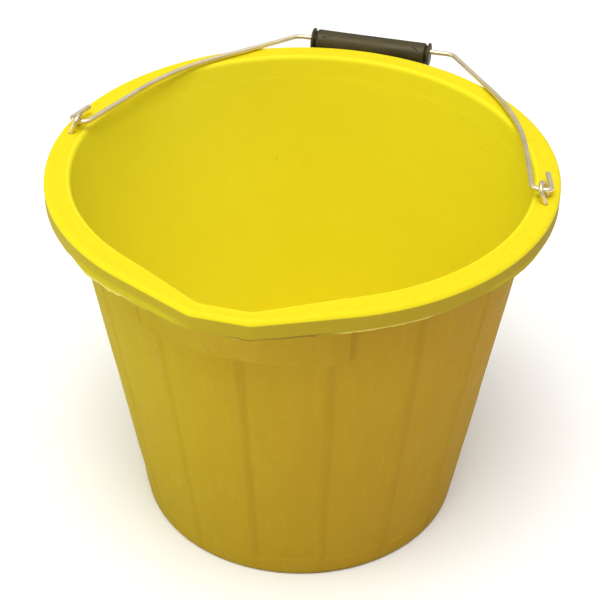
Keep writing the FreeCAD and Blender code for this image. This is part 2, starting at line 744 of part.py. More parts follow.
# ================================================================ staples
def make_staple(name, sign):
    body = new_body(name)
    spine = new_sketch(body, name + "_line", "YZ_Plane")
    half = "dims.staple_span / 2"
    # the loop's arc is the whole top, so its corners sit a half span above its ends
    lines = []
    h = val("staple_span") / 2
    r = val("staple_bend")
    rise, drop, toe = val("staple_rise"), val("staple_drop"), val("staple_toe")
    pts = [
        Vector(h + r + toe, -drop, 0),
        Vector(h + r, -drop, 0),
        Vector(h, -drop + r, 0),
        Vector(h, rise - h, 0),
        Vector(-h, rise - h, 0),
        Vector(-h, -drop + r, 0),
        Vector(-h - r, -drop, 0),
        Vector(-h - r - toe, -drop, 0),
    ]
    s2 = math.sqrt(0.5)
    g = [
        spine.addGeometry(Part.LineSegment(pts[0], pts[1]), False),
        spine.addGeometry(
            Part.Arc(pts[1], Vector(h + r - r * s2, -drop + r - r * s2, 0), pts[2]), False
        ),
        spine.addGeometry(Part.LineSegment(pts[2], pts[3]), False),
        spine.addGeometry(Part.Arc(pts[3], Vector(0, rise, 0), pts[4]), False),
        spine.addGeometry(Part.LineSegment(pts[4], pts[5]), False),
        spine.addGeometry(
            Part.Arc(pts[5], Vector(-h - r + r * s2, -drop + r - r * s2, 0), pts[6]), False
        ),
        spine.addGeometry(Part.LineSegment(pts[6], pts[7]), False),
    ]
    for a, b in zip(g, g[1:]):
        best = min(
            ((i, j) for i in (1, 2) for j in (1, 2)),
            key=lambda e: (spine.getPoint(a, e[0]) - spine.getPoint(b, e[1])).Length,
        )
        spine.addConstraint(Sketcher.Constraint("Tangent", a, best[0], b, best[1]))
    spine.addConstraint(Sketcher.Constraint("PointOnObject", g[3], 3, -2))
    spine.addConstraint(Sketcher.Constraint("Vertical", g[2]))
    spine.addConstraint(Sketcher.Constraint("Vertical", g[4]))
    spine.addConstraint(Sketcher.Constraint("Horizontal", g[0]))
    spine.addConstraint(Sketcher.Constraint("Horizontal", g[6]))
    spine.addConstraint(Sketcher.Constraint("Equal", g[1], g[5]))
    spine.addConstraint(Sketcher.Constraint("Symmetric", g[0], 1, g[6], 2, -2))
    for c, nm, text in (
        (Sketcher.Constraint("Radius", g[3], h), "loop", "dims.staple_span / 2"),
        (Sketcher.Constraint("Radius", g[1], r), "clinch", "dims.staple_bend"),
        (
            Sketcher.Constraint("DistanceX", g[0], 2, g[0], 1, toe),
            "toe",
            "dims.staple_toe",
        ),
        (
            Sketcher.Constraint("DistanceY", g[0], 1, -1, 1, drop),
            "drop",
            "dims.staple_drop",
        ),
        (
            Sketcher.Constraint("DistanceY", -1, 1, g[3], 3, rise - h),
            "rise",
            "dims.staple_rise - dims.staple_span / 2",
        ),
    ):
        i = spine.addConstraint(c)
        spine.renameConstraint(i, nm)
        spine.setExpression("Constraints." + nm, text)
    section = new_sketch(
        body,
        name + "_wire",
        "XZ_Plane",
        offset=Placement(Vector(0, -drop, -(h + r + toe)), Rotation()),
        exprs={
            "AttachmentOffset.Base.y": "-dims.staple_drop",
            "AttachmentOffset.Base.z": "-(dims.staple_span / 2 + dims.staple_bend + dims.staple_toe)",
        },
    )
    c = section.addGeometry(Part.Circle(Vector(), Vector(0, 0, 1), val("staple_wire") / 2), False)
    section.addConstraint(Sketcher.Constraint("Coincident", c, 3, -1, 1))
    i = section.addConstraint(Sketcher.Constraint("Diameter", c, val("staple_wire")))
    section.renameConstraint(i, "wire")
    section.setExpression("Constraints.wire", "dims.staple_wire")
    settle()
    pipe = body.newObject("PartDesign::AdditivePipe", name + "_pipe")
    pipe.Profile = section
    pipe.Spine = (spine, [f"Edge{k + 1}" for k in range(len(spine.Shape.Edges))])
    body.Placement = Placement(
        Vector(sign * val("staple_radius"), 0, val("height")),
        Rotation(Vector(0, -sign, 0), val("staple_lean")),
    )
    body.setExpression("Placement.Base.x", f"{sign} * dims.staple_radius")
    body.setExpression("Placement.Base.z", "dims.height")
    body.setExpression("Placement.Rotation.Angle", "dims.staple_lean * 1 deg")
    settle()
    length = sum(e.Length for e in spine.Shape.Edges)
    want = length * math.pi * val("staple_wire") ** 2 / 4
    print(f"  {name}: wire {length:.1f} mm, volume {body.Shape.Volume:.1f} of {want:.1f} mm3")
    return body


staple_right = make_staple("staple_right", 1)
staple_left = make_staple("staple_left", -1)

# ================================================================ bail
# Drawn flat, as the wire is bent: x across the bucket, y away from the pivot.
bail = new_body("bail_wire")
bail_sk = new_sketch(bail, "bail_line")
rounded_path(
    bail_sk,
    [
        ("-dims.tail_x", "dims.tail_y"),
        ("-dims.hook_outer_x", "0"),
        ("-dims.hook_inner_x", "0"),
        ("-dims.arm_left_x", "dims.arm_left_y"),
        ("-dims.bend_left_x", "dims.bend_left_y"),
        ("dims.bend_right_x", "dims.bend_right_y"),
        ("dims.arm_right_x", "dims.arm_right_y"),
        ("dims.hook_inner_x", "0"),
        ("dims.hook_outer_x", "0"),
        ("dims.tail_x", "dims.tail_y"),
    ],
    [
        "dims.hook_outer_round",
        "dims.hook_inner_round",
        "dims.arm_round",
        "dims.bend_round",
        "dims.bend_round",
        "dims.arm_round",
        "dims.hook_inner_round",
        "dims.hook_outer_round",
    ],
)
tail_turn = math.degrees(
    math.atan2(val("hook_outer_x") - val("tail_x"), val("tail_y"))
)
bail_section = new_sketch(
    bail,
    "bail_section",
    "XZ_Plane",
    offset=Placement(
        Vector(-val("tail_x"), 0, -val("tail_y")), Rotation(Vector(0, 1, 0), -tail_turn)
    ),
    exprs={
        "AttachmentOffset.Base.x": "-dims.tail_x",
        "AttachmentOffset.Base.z": "-dims.tail_y",
    },
)
c = bail_section.addGeometry(
    Part.Circle(Vector(), Vector(0, 0, 1), val("bail_wire_dia") / 2), False
)
bail_section.addConstraint(Sketcher.Constraint("Coincident", c, 3, -1, 1))
i = bail_section.addConstraint(Sketcher.Constraint("Diameter", c, val("bail_wire_dia")))
bail_section.renameConstraint(i, "wire")
bail_section.setExpression("Constraints.wire", "dims.bail_wire_dia")
settle()
bail_pipe = bail.newObject("PartDesign::AdditivePipe", "bail_pipe")
bail_pipe.Profile = bail_section
bail_pipe.Spine = (bail_sk, [f"Edge{k + 1}" for k in range(len(bail_sk.Shape.Edges))])
bail.Placement = Placement(
    Vector(0, 0, val("pivot_height")), Rotation(Vector(-1, 0, 0), val("bail_rest"))
)
bail.setExpression("Placement.Base.z", "dims.pivot_height")
bail.setExpression("Placement.Rotation.Angle", "dims.bail_rest * 1 deg")
settle()
length = sum(e.Length for e in bail_sk.Shape.Edges)
want = length * math.pi * val("bail_wire_dia") ** 2 / 4
print(f"  bail_wire: wire {length:.1f} mm, volume {bail.Shape.Volume:.1f} of {want:.1f} mm3")

# ================================================================ grip
# A revolved barrel with a collar at each end, bored off its centre for the wire.
# The bore is the grip's local X axis, and the barrel hangs below it.
grip = new_body("grip")
grip_sk = new_sketch(
    grip,
    "grip_section",
    "XZ_Plane",
    offset=Placement(
        Vector(0, -val("grip_drop"), 0), Rotation(Vector(0, 0, -1), val("grip_tilt"))
    ),
    exprs={
        "AttachmentOffset.Base.y": "-dims.grip_drop",
        "AttachmentOffset.Rotation.Angle": "dims.grip_tilt * 1 deg",
    },
)
HL = "dims.grip_length / 2"
half_section = [
    (f"-{HL}", "0"),
    (f"-{HL}", "dims.grip_end_dia / 2 - 0.8"),
    (f"-({HL} - 0.8)", "dims.grip_end_dia / 2"),
    (f"-({HL} - dims.grip_collar + 0.4)", "dims.grip_end_dia / 2"),
    (f"-({HL} - dims.grip_collar)", "dims.grip_dia / 2 - dims.grip_groove_depth"),
    (
        f"-({HL} - dims.grip_collar - dims.grip_groove)",
        "dims.grip_dia / 2 - dims.grip_groove_depth",
    ),
    (f"-({HL} - dims.grip_collar - dims.grip_groove - 0.8)", "dims.grip_dia / 2"),
]
mirrored = [(a[1:] if a.startswith("-") else a, b) for a, b in reversed(half_section)]
polygon(grip_sk, half_section + mirrored)
barrel = grip.newObject("PartDesign::Revolution", "grip_barrel")
barrel.Profile = grip_sk
barrel.ReferenceAxis = (grip_sk, ["H_Axis"])
barrel.Angle = 360.0
settle()
grip_volume = grip.Shape.Volume
bore_sk = new_sketch(grip, "grip_bore_section", "YZ_Plane")
c = bore_sk.addGeometry(Part.Circle(Vector(), Vector(0, 0, 1), val("grip_bore") / 2), False)
bore_sk.addConstraint(Sketcher.Constraint("Coincident", c, 3, -1, 1))
i = bore_sk.addConstraint(Sketcher.Constraint("Diameter", c, val("grip_bore")))
bore_sk.renameConstraint(i, "bore")
bore_sk.setExpression("Constraints.bore", "dims.grip_bore")
bore = grip.newObject("PartDesign::Pocket", "grip_bore_cut")
bore.Profile = bore_sk
bore.Midplane = True
bore.Length = val("grip_length") + 10
bore.setExpression("Length", "dims.grip_length + 10")
grip_volume = changed(grip, grip_volume, -1, "grip bore")

# place the grip on its length of wire, its barrel held a little way out
rest = Placement(Vector(0, 0, val("pivot_height")), Rotation(Vector(-1, 0, 0), val("bail_rest")))
left = rest.multVec(Vector(-val("bend_left_x"), val("bend_left_y"), 0))
right = rest.multVec(Vector(val("bend_right_x"), val("bend_right_y"), 0))
along = (right - left).normalize()
middle = (left + right) * 0.5 + along * val("grip_shift")
side = Vector(0, 0, 1).cross(along).normalize()
turn = Rotation(along, side, along.cross(side), "XYZ")
swing = Rotation(Vector(1, 0, 0), val("grip_swing"))
grip.Placement = Placement(middle, turn.multiply(swing))
settle()
print(
    "  grip axis through (%.3f, %.3f, %.3f) along (%.6f, %.6f, %.6f)"
    % (middle.x, middle.y, middle.z, along.x, along.y, along.z)
)

# ================================================================ write
bodies = [shell, staple_left, staple_right, bail, grip]
settle()
os.makedirs("parts", exist_ok=True)
for b in bodies:
    if b.Shape.isNull() or not b.Shape.isValid() or len(b.Shape.Solids) != 1:
        raise RuntimeError(f"{b.Label} is not one valid solid")
for b in bodies:
    b.Shape.exportStep(f"parts/{b.Label}.step")
    box = b.Shape.BoundBox
    print(
        f"{b.Label}: {b.Shape.Volume / 1000:.2f} cm3, "
        f"x {box.XMin:.2f} {box.XMax:.2f} y {box.YMin:.2f} {box.YMax:.2f} z {box.ZMin:.2f} {box.ZMax:.2f}"
    )
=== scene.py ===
import math
import random

import bmesh
import bpy
import numpy as np
from mathutils import Matrix, Vector


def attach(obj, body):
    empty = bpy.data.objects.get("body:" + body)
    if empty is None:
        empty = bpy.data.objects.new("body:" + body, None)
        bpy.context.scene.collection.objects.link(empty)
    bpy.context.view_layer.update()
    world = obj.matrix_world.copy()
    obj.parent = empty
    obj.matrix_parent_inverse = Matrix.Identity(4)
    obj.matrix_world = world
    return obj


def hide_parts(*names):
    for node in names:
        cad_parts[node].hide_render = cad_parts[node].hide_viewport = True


# A yellow builder's bucket with a wire bail and a black grip, in the studio.
# Lengths in the tables below are millimetres; every mesh is written in metres.

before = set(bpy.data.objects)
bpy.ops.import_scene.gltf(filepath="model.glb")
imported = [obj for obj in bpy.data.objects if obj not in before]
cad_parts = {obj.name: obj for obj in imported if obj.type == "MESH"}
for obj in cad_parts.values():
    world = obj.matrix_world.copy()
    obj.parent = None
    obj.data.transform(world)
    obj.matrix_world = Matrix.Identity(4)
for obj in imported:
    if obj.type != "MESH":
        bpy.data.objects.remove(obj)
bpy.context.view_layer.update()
MM = 0.001
random.seed(7)
rng = np.random.default_rng(7)
scene = bpy.context.scene


# ------------------------------------------------------------------ helpers
def smooth(a, b, x):
    t = np.clip((x - a) / (b - a), 0.0, 1.0)
    return t * t * (3 - 2 * t)


def smax(a, b, k):
    return 0.5 * (a + b + np.sqrt((a - b) ** 2 + k * k)) - 0.5 * k


def link(name, mesh):
    ob = bpy.data.objects.new(name, mesh)
    scene.collection.objects.link(ob)
    return ob


def make_mesh(name, verts, faces, attrs=None, angle=40.0):
    me = bpy.data.meshes.new(name)
    me.from_pydata([tuple(v) for v in np.asarray(verts) * MM], [], faces)
    me.update()
    for key, values in (attrs or {}).items():
        a = me.attributes.new(key, "FLOAT", "POINT")
        a.data.foreach_set("value", np.asarray(values, dtype=np.float32))
    bm = bmesh.new()
    bm.from_mesh(me)
    bmesh.ops.recalc_face_normals(bm, faces=bm.faces)
    bm.to_mesh(me)
    bm.free()
    me.shade_smooth()
    me.set_sharp_from_angle(angle=math.radians(angle))
    return me


def wobble(x, y, z, seed, scale):
    """A smooth random field from a few fixed waves, about -1 to 1."""
    g = np.random.default_rng(seed)
    out = np.zeros(np.broadcast(x, y, z).shape)
    for _ in range(7):
        k = g.normal(size=3)
        k *= g.uniform(0.6, 1.6) / scale / max(np.linalg.norm(k), 1e-6) * 2 * math.pi
        out = out + np.sin(k[0] * x + k[1] * y + k[2] * z + g.uniform(0, 6.28))
    return out / 3.2


# ------------------------------------------------------------------ the shell
BASE, SLOPE, WALL = 111.7, 0.1578, 2.9
HEIGHT, SKIRT_Z = 262.4, 249.4

dense = np.arange(-180.0, 180.0, 0.05)
rad = np.radians(dense)


def polar(points):
    """Radius over the angles in dense of an outline's points, which run round the
    axis in order. The angle is taken from the lip's middle, -Y."""
    p = np.asarray(points)
    a = np.degrees(np.arctan2(p[:, 0], -p[:, 1]))
    r = np.hypot(p[:, 0], p[:, 1])
    o = np.argsort(a)
    return np.interp(dense, a[o], r[o], period=360)


def blur(r, sigma):
    """r over dense, softened over sigma degrees."""
    n = int(4 * sigma / 0.05)
    k = np.exp(-0.5 * (np.arange(-n, n + 1) * 0.05 / sigma) ** 2)
    k /= k.sum()
    ext = np.concatenate([r[-n:], r, r[:n]])
    return np.convolve(ext, k, "valid")


def lip_outline(R, L, corner, A=24.8):
    a = math.radians(A)
    run = (L - R * math.cos(a)) / math.sin(a)
    cx = R * math.sin(a) - run * math.cos(a)
    pts = []
    for deg in np.arange(A, 180.01, 0.25):
        t = math.radians(deg)
        pts.append((R * math.sin(t), -R * math.cos(t)))
    for s in np.linspace(0, 1, 120):
        # circle to the tip's corner
        x = R * math.sin(a) + (cx - R * math.sin(a)) * s
        y = -R * math.cos(a) + (-L + R * math.cos(a)) * s
        pts.append((x, y))
    for s in np.linspace(0, 1, 30):
        pts.append((cx * (1 - s), -L))
    pts += [(-x, y) for x, y in pts if x > 1e-6]
    r = polar(pts)
    # the two corners of the tip, rounded
    return blur(r, 0.34 * corner / 6.0) if corner > 0 else r


rim_out = lip_outline(167.0, 175.4, 9.0)


def rim_at(inward):
    return lip_outline(167.0 - inward, 175.4 - inward, max(9.0 - inward, 3.0))


def ruled(low, high, t):
    """Outline at share t between two matching lists of points, for one side."""
    low, high = np.asarray(low), np.asarray(high)
    return low * (1 - t) + high * t


# outside of the lip: the apron
A0 = 27.0
s = np.linspace(0, 1, 60)
r_lo = 112.9 + SLOPE * 209.3
ang = np.radians(A0 + (6.0 - A0) * s)
apron_lo = np.stack([r_lo * np.sin(ang), -r_lo * np.cos(ang)], 1)
c0 = np.array([154.15 * math.sin(math.radians(A0)), -154.15 * math.cos(math.radians(A0))])
c1 = np.array([16.8, -167.9])
apron_hi = c0[None] * (1 - s[:, None]) + c1[None] * s[:, None]

# inside of the lip: the spout
SA = 32.3
rs = 108.8 + SLOPE * 212.0
rt = (108.8 + SLOPE * HEIGHT) * 0.9985
p0 = np.array([math.sin(math.radians(SA)), -math.cos(math.radians(SA))])
p1 = np.array([math.sin(math.radians(6.0)), -math.cos(math.radians(6.0))])
spout_lo = rs * 0.995 * (p0[None] * (1 - s[:, None]) + p1[None] * s[:, None])
spout_hi = (rt * p0)[None] * (1 - s[:, None]) + np.array([16.5, -165.0])[None] * s[:, None]


def side_pair(points):
    """Both sides of an outline given for +x, joined across the tip."""
    pts = [tuple(p) for p in points]
    tip = points[-1]
    for k in np.linspace(0, 1, 14)[1:]:
        pts.append((tip[0] * (1 - k), tip[1]))
    return pts + [(-x, y) for x, y in pts if x > 1e-6]


def ribs(angles, half=1.2, soft=0.78):
    """0 to 1 across each rib."""
    d = np.abs((angles + 11.25) % 22.5 - 11.25)
    return 1.0 - smooth(half - soft, half + soft, d)


def outer(z):
    """Outside radius at height z, and how far each angle is on the apron."""
    cone = np.full_like(dense, BASE + SLOPE * z)
    rib = ribs(dense) * smooth(13.6, 18.4, z)
    r = cone + 0.86 * rib
    w = 0.0
    if z > 207.5:
        t = max(0.0, (z - 209.3) / (261.4 - 209.3))
        ap = polar(side_pair(ruled(apron_lo, apron_hi, t)))
        ap = blur(ap, 0.55)
        ap = np.where(np.abs(dense) <= A0 + 1.2, ap, 0)
        edge = smooth(A0 + 0.22, A0 - 0.42, np.abs(dense)) * float(smooth(208.2, 209.7, z))
        ap = np.maximum(ap, cone)
        r = r + edge * np.maximum(ap - r, 0)
        w = edge
    if z < 17.8:
        r = r + 0.6 * float(smooth(17.6, 14.8, z))
    return r, w


def inner(z):
    r = 108.8 + SLOPE * z
    lip = 0.09 * min(z / 246.4, 1.0) if z <= 245.6 else 0.09 * float(smooth(247.6, 245.6, z))
    r = np.full_like(dense, r - lip)
    if z > 205.0:
        t = max(0.0, (z - 212.0) / (HEIGHT - 212.0))
        sp = polar(side_pair(ruled(spout_lo, spout_hi, t)))
        sp = np.where(np.abs(dense) <= SA + 2, sp, 0)
        sp = blur(sp, 0.7)
        far = smooth(SA + 3, SA - 1.5, np.abs(dense))
        r = r * (1 - far) + far * smax(r, np.maximum(sp, r - 4), 1.2)
    return r


# angles of the mesh's columns: one a degree, finer where the shape turns
cols = set(np.round(np.arange(-180.0, 180.0, 1.0), 3))
for k in range(16):
    c = -180.0 + 22.5 * k
    for d in (0.25, 0.43, 0.62, 0.8, 0.98, 1.15, 1.32, 1.5, 1.68, 1.88, 2.2):
        for g in (-1, 1):
            cols.add(round((c + g * d + 180.0) % 360.0 - 180.0, 3))
for side in (-1, 1):
    for c in (26.2, 26.5, 26.75, 27.0, 27.25, 27.6, 32.0, 32.6, 24.5, 25.2):
        cols.add(side * c)
    for c in np.arange(4.0, 8.2, 0.3):
        cols.add(round(side * float(c), 3))
cols = np.array(sorted(cols))
keep = [cols[0]]
for c in cols[1:]:
    if c - keep[-1] > 0.1:
        keep.append(c)
cols = np.array(keep)
N = len(cols)
ct, st = np.cos(np.radians(cols)), np.sin(np.radians(cols))


def at_cols(r):
    r = np.asarray(r, float)
    if r.ndim == 0:
        return np.full(N, float(r))
    return np.interp(cols, dense, r, period=360)


rows = []  # each: radius, height, and the masks


def add(r, z, **masks):
    r = at_cols(r)
    z = np.full(N, float(z)) if np.ndim(z) == 0 else at_cols(z)
    rows.append((r, z, masks))


# inside, from the middle of the floor up to the mouth
for r in (14, 32, 50, 68, 84, 96, 102):
    add(r, 6.2, inside=1)
for r, z in ((105.2, 6.22), (106.6, 6.45), (107.8, 6.95), (108.9, 7.8), (109.8, 8.9), (110.4, 10.4)):
    add(r, z, inside=1)
for z in list(np.arange(14, 206, 7.0)) + list(np.arange(208, 245.5, 2.6)) + [
    245.4, 246.0, 246.35, 246.6, 246.85, 247.2, 248.2, 250.6, 253.2, 255.8, 257.6, 258.8,
]:
    add(inner(z), z, inside=1)
mouth = inner(HEIGHT)
for d, z in ((0.0, 259.6), (0.09, 260.3), (0.34, 261.0), (0.75, 261.6), (1.3, 262.05), (1.95, 262.3)):
    add(inner(z) + d, z, inside=1 if z < 261.2 else 0.5)
# the rim's top, with a very slight sink between the wall and the skirt
RR = 3.0
edge_top = rim_at(RR)
a_in = mouth + 2.7
for k, t in enumerate(np.linspace(0, 1, 9)):
    add(a_in * (1 - t) + edge_top * t, HEIGHT - 0.02 - 0.16 * math.sin(math.pi * t) ** 2, rim=1)
for deg in (14, 28, 42, 56, 70, 82):
    f = math.radians(deg)
    add(rim_at(RR * (1 - math.sin(f))), HEIGHT - 0.02 - RR * (1 - math.cos(f)), rim=1 - 0.5 * deg / 90)
torn = smooth(-42, -36, dense) * smooth(-5, -12, dense) + 0.45 * smooth(54, 60, dense) * smooth(78, 70, dense)
rags = 0.5 + 0.28 * np.sin(rad * 37 + 2.2 * np.sin(rad * 13)) + 0.22 * np.sin(rad * 71 + 1.7 * np.sin(rad * 29 + 0.6))
for z in (258.9, 256.8, 254.8, 253.6, 252.8, 252.0, 251.2, 250.4):
    flare = torn * float(smooth(253.8, 250.2, z)) * (0.75 + 0.3 * rags)
    add(rim_out - 0.06 * (z - 250) / 9 + flare, z, skirt=1, fresh=torn * float(smooth(253.4, 251.4, z)))
# the skirt's lower edge, with the moulding's thin flash, ragged in places
thin = 0.34 + 0.22 * np.sin(rad * 9.0 + 1.0) * np.sin(rad * 23.0) + 0.14 * np.sin(rad * 61.0 + 2.0)
ragged = smooth(-43, -38, dense) * smooth(-20, -26, dense)
ragged = ragged + 0.7 * smooth(7, 12, dense) * smooth(44, 40, dense)
ragged = ragged + 0.6 * smooth(96, 104, dense) * smooth(150, 138, dense)
teeth = 0.5 + 0.5 * np.sin(rad * 47 + 3 * np.sin(rad * 11)) * np.sin(rad * 83 + 1.3)
flash = np.clip(thin + ragged * (0.45 + 1.05 * teeth) + torn * 1.5 * rags, 0.08, 2.7)
lean_out = torn * (0.9 + 0.3 * rags)
flash = blur(flash, 0.25)
# a painted shadow along parts of the skirt's lower edge, strongest just right of the lip
stain = 0.85 * smooth(-1.0, 3.0, dense) * smooth(24.0, 17.0, dense) + 0.5 * smooth(44.0, 50.0, dense) * smooth(80.0, 66.0, dense)
stain = stain + 0.35 * smooth(-150.0, -130.0, dense) * smooth(-95.0, -110.0, dense)
add(rim_out + lean_out, SKIRT_Z + 0.75, skirt=1, stain=0.25 * stain, fresh=torn)
pale = 0.10 + smooth(-43, -38, dense) * smooth(-19, -25, dense) * 0.9 + 0.9 * smooth(20, 26, dense) * smooth(50, 44, dense)
pale = pale + 0.35 * smooth(96, 104, dense) * smooth(150, 138, dense)
add(rim_out - 0.12 + lean_out * 1.05, SKIRT_Z + 0.18, skirt=1, burr=0.4 * pale, stain=stain, fresh=torn)
add(rim_at(0.3) + lean_out * 1.1, SKIRT_Z - 0.45 * flash, skirt=1, burr=pale, stain=stain, fresh=torn)
add(rim_at(0.55) + lean_out * 1.15, SKIRT_Z - flash, skirt=1, burr=pale, stain=stain, fresh=torn)
add(rim_at(0.9) + lean_out * 0.9, SKIRT_Z - 0.6 * flash, skirt=1, burr=pale)
add(rim_at(1.1), SKIRT_Z - 0.02, skirt=1, burr=0.3 * pale)
add(rim_at(2.1), SKIRT_Z, skirt=1, under=0.6)
add(rim_at(2.5), SKIRT_Z + 0.3, skirt=1, under=0.8)
add(rim_at(2.6), SKIRT_Z + 1.0, under=1)
for z in (252.5, 255.0, 257.4, 258.4):
    add(rim_at(2.6), z, under=1)
add(rim_at(2.85), 258.85, under=1)
add(rim_at(3.5), 259.0, under=1)
wall_top, _ = outer(258.6)
for t in (0.35, 0.7):
    add(rim_at(3.5) * (1 - t) + (wall_top + 1.2) * t, 259.0, under=1)
add(wall_top + 1.2, 258.95, under=1)
add(wall_top + 0.4, 258.6, under=1)
# the wall outside, down to the foot
for z in (257.6, 256, 254, 252, 250, 248, 246, 244, 242, 240, 237.5, 235, 232, 229, 226, 223, 220, 217,
          214.5, 212.5, 211.2, 210.4, 209.9, 209.5, 209.1, 208.7, 208.3, 207.8, 206.8, 205.0, 201.5):
    r, w = outer(z)
    add(r, z, wall=1, under=float(smooth(235, 250, z)), apron=w)
for z in list(np.arange(196, 24, -7.0)) + [25.0, 21.5, 19.4, 18.4, 17.6, 17.1, 16.6, 16.1, 15.6, 15.1, 14.6, 13.6, 12.0, 9.0, 6.0, 4.0]:
    r, w = outer(z)
    add(r, z, wall=1, low=float(smooth(30, 6, z)))
# the foot's rounded edge is darkened through the same attribute, darker towards the bottom edge and by an amount that
# varies round it
heel = 0.42 + 0.58 * smooth(2, 24, dense) * smooth(78, 56, dense) + 0.3 * smooth(-32, -22, dense) * smooth(-8, -16, dense)
for deg in (8, 26, 44, 62, 80):
    f = math.radians(deg)
    z = 2.4 * (1 - math.sin(f))
    add(BASE + 0.6 + SLOPE * 2.4 - 2.4 * (1 - math.cos(f)), z, wall=1, low=1, stain=(0.25 + 0.75 * deg / 80.0) * heel)
# the foot ring, the recess inside it and the underside of the floor
add(BASE + 0.6 + SLOPE * 2.4 - 2.9, 0.0, low=1)
for r in (108.4, 106.6, 105.2):
    add(r, 0.0, low=1)
for r, z in ((104.5, 0.15), (104.1, 0.55), (103.7, 1.6), (103.35, 2.5), (102.9, 2.88), (102.0, 3.0)):
    add(r, z, low=0.6, below=1)
for r in (92, 80.6, 80.2, 79.8, 79.4, 66, 52, 38, 24, 15.2, 14.8, 14.4, 14.0, 9.0, 6.2, 5.6, 5.0, 3.0):
    # two shallow rings and the gate's mark
    z = 3.0
    if r in (80.2, 79.8, 14.8, 14.4):
        z = 2.55
    if r in (5.0, 3.0):
        z = 2.2
    add(r, z, below=1)

R = np.array([r for r, z, m in rows])
Z = np.array([z for r, z, m in rows])
M = len(rows)
X, Y = R * st[None], -R * ct[None]

# the moulding isn't perfectly true: the walls and the rim wander a little, the
# two faces of a wall together
amount = smooth(12.0, 60.0, Z) * 0.30
amount = amount * (1 - 0.75 * smooth(236.0, 250.0, Z))
dr = amount * wobble(X, Y, Z * 0.35, 3, 95.0) + 0.35 * amount * wobble(X, Y, Z, 4, 34.0)
R2 = R + dr
is_rim = np.array([m.get("rim", 0) for r, z, m in rows])[:, None]
Z = Z - is_rim * 0.10 * (0.5 + 0.5 * wobble(X, Y, Z, 5, 60.0))
X, Y = R2 * st[None], -R2 * ct[None]

masks = {}
for key in ("inside", "rim", "skirt", "burr", "under", "wall", "apron", "low", "below", "stain", "fresh"):
    rows_of = []
    for r, z, m in rows:
        v = m.get(key, 0.0)
        rows_of.append(at_cols(v) if np.ndim(v) else np.full(N, float(v)))
    masks[key] = np.array(rows_of)
masks["rib"] = ribs(cols)[None] * masks["wall"] * (1 - masks["apron"])
# painted shade along the apron's two ends, where its side steps out from the wall. "east" runs from 0 at -X to 1 at
# +X: the outside is given an olive tone at one end of it and a brown one at the other, chosen to
# match the reference view, where part of that difference is light and not plastic: the olive -X end is painted light
# and the brown +X end is painted shade
masks["crease"] = (
    np.exp(-(((np.abs(cols) - 27.6) / 0.65) ** 2))[None] * masks["wall"] * smooth(209.5, 214.0, Z) * smooth(250.0, 236.0, Z)
)
masks["east"] = (0.5 + 0.5 * X / (BASE + SLOPE * np.clip(Z, 0, 230.0))).clip(0, 1)
masks["foot"] = masks["wall"] * smooth(190.0, 0.0, Z)
masks["ribedge"] = (
    np.exp(-(((np.abs((cols + 11.25) % 22.5 - 11.25) - 1.2) / 0.42) ** 2))[None]
    * masks["wall"] * (1 - masks["apron"])
)

verts = np.stack([X, Y, Z], -1).reshape(-1, 3)
faces = []
for i in range(M - 1):
    a, b = i * N, (i + 1) * N
    for j in range(N):
        k = (j + 1) % N
        faces.append((a + j, a + k, b + k, b + j))
top_centre = len(verts)
bottom_centre = top_centre + 1
verts = np.vstack([verts, [[0, 0, 6.2]], [[0, 0, 2.2]]])
for j in range(N):
    k = (j + 1) % N
    faces.append((top_centre, k, j))
    faces.append((bottom_centre, (M - 1) * N + j, (M - 1) * N + k))
attrs = {}
for key, v in masks.items():
    attrs[key] = np.concatenate([v.reshape(-1), [v[0, 0], v[-1, 0]]])
shell = link("shell_moulding", make_mesh("shell_moulding", verts, faces, attrs, 50.0))

# holes where the staples' legs go through the rim
LEAN = math.radians(22.0)


def on_staple(sign, y, z):
    """A point of the flat staple, y across and z up its legs, in the row frame."""
    return (sign * (159.0 - z * math.sin(LEAN)), y, 262.4 + z * math.cos(LEAN))


cut_bm = bmesh.new()
for sign in (1, -1):
    for y in (-5.5, 5.5):
        lo, hi = on_staple(sign, y, -9.0), on_staple(sign, y, 6.0)
        axis = Vector(hi) - Vector(lo)
        q = axis.to_track_quat("Z", "Y").to_matrix().to_4x4()
        m = Matrix.Translation(Vector(lo) * MM) @ q
        ring = []
        for h in (0.0, axis.length):
            loop = []
            for k in range(20):
                a = 2 * math.pi * k / 20
                p = 1.86 + 0.10 * math.sin(3 * a + y)
                loop.append(cut_bm.verts.new(m @ (Vector((p * math.cos(a), p * math.sin(a), h)) * MM)))
            ring.append(loop)
        for k in range(20):
            n = (k + 1) % 20
            cut_bm.faces.new((ring[0][k], ring[0][n], ring[1][n], ring[1][k]))
        cut_bm.faces.new(list(reversed(ring[0])))
        cut_bm.faces.new(ring[1])
cut_me = bpy.data.meshes.new("leg_cutter")
cut_bm.to_mesh(cut_me)
cut_bm.free()
cutter = link("leg_cutter", cut_me)
mod = shell.modifiers.new("holes", "BOOLEAN")
mod.operation = "DIFFERENCE"
mod.solver = "EXACT"
mod.object = cutter
deps = bpy.context.evaluated_depsgraph_get()
holed = bpy.data.meshes.new_from_object(shell.evaluated_get(deps))
shell.modifiers.clear()
if len(holed.vertices) > 0.9 * len(shell.data.vertices):
    shell.data = holed
    shell.data.name = "shell_moulding"
bpy.data.objects.remove(cutter)
shell.data.materials.clear()


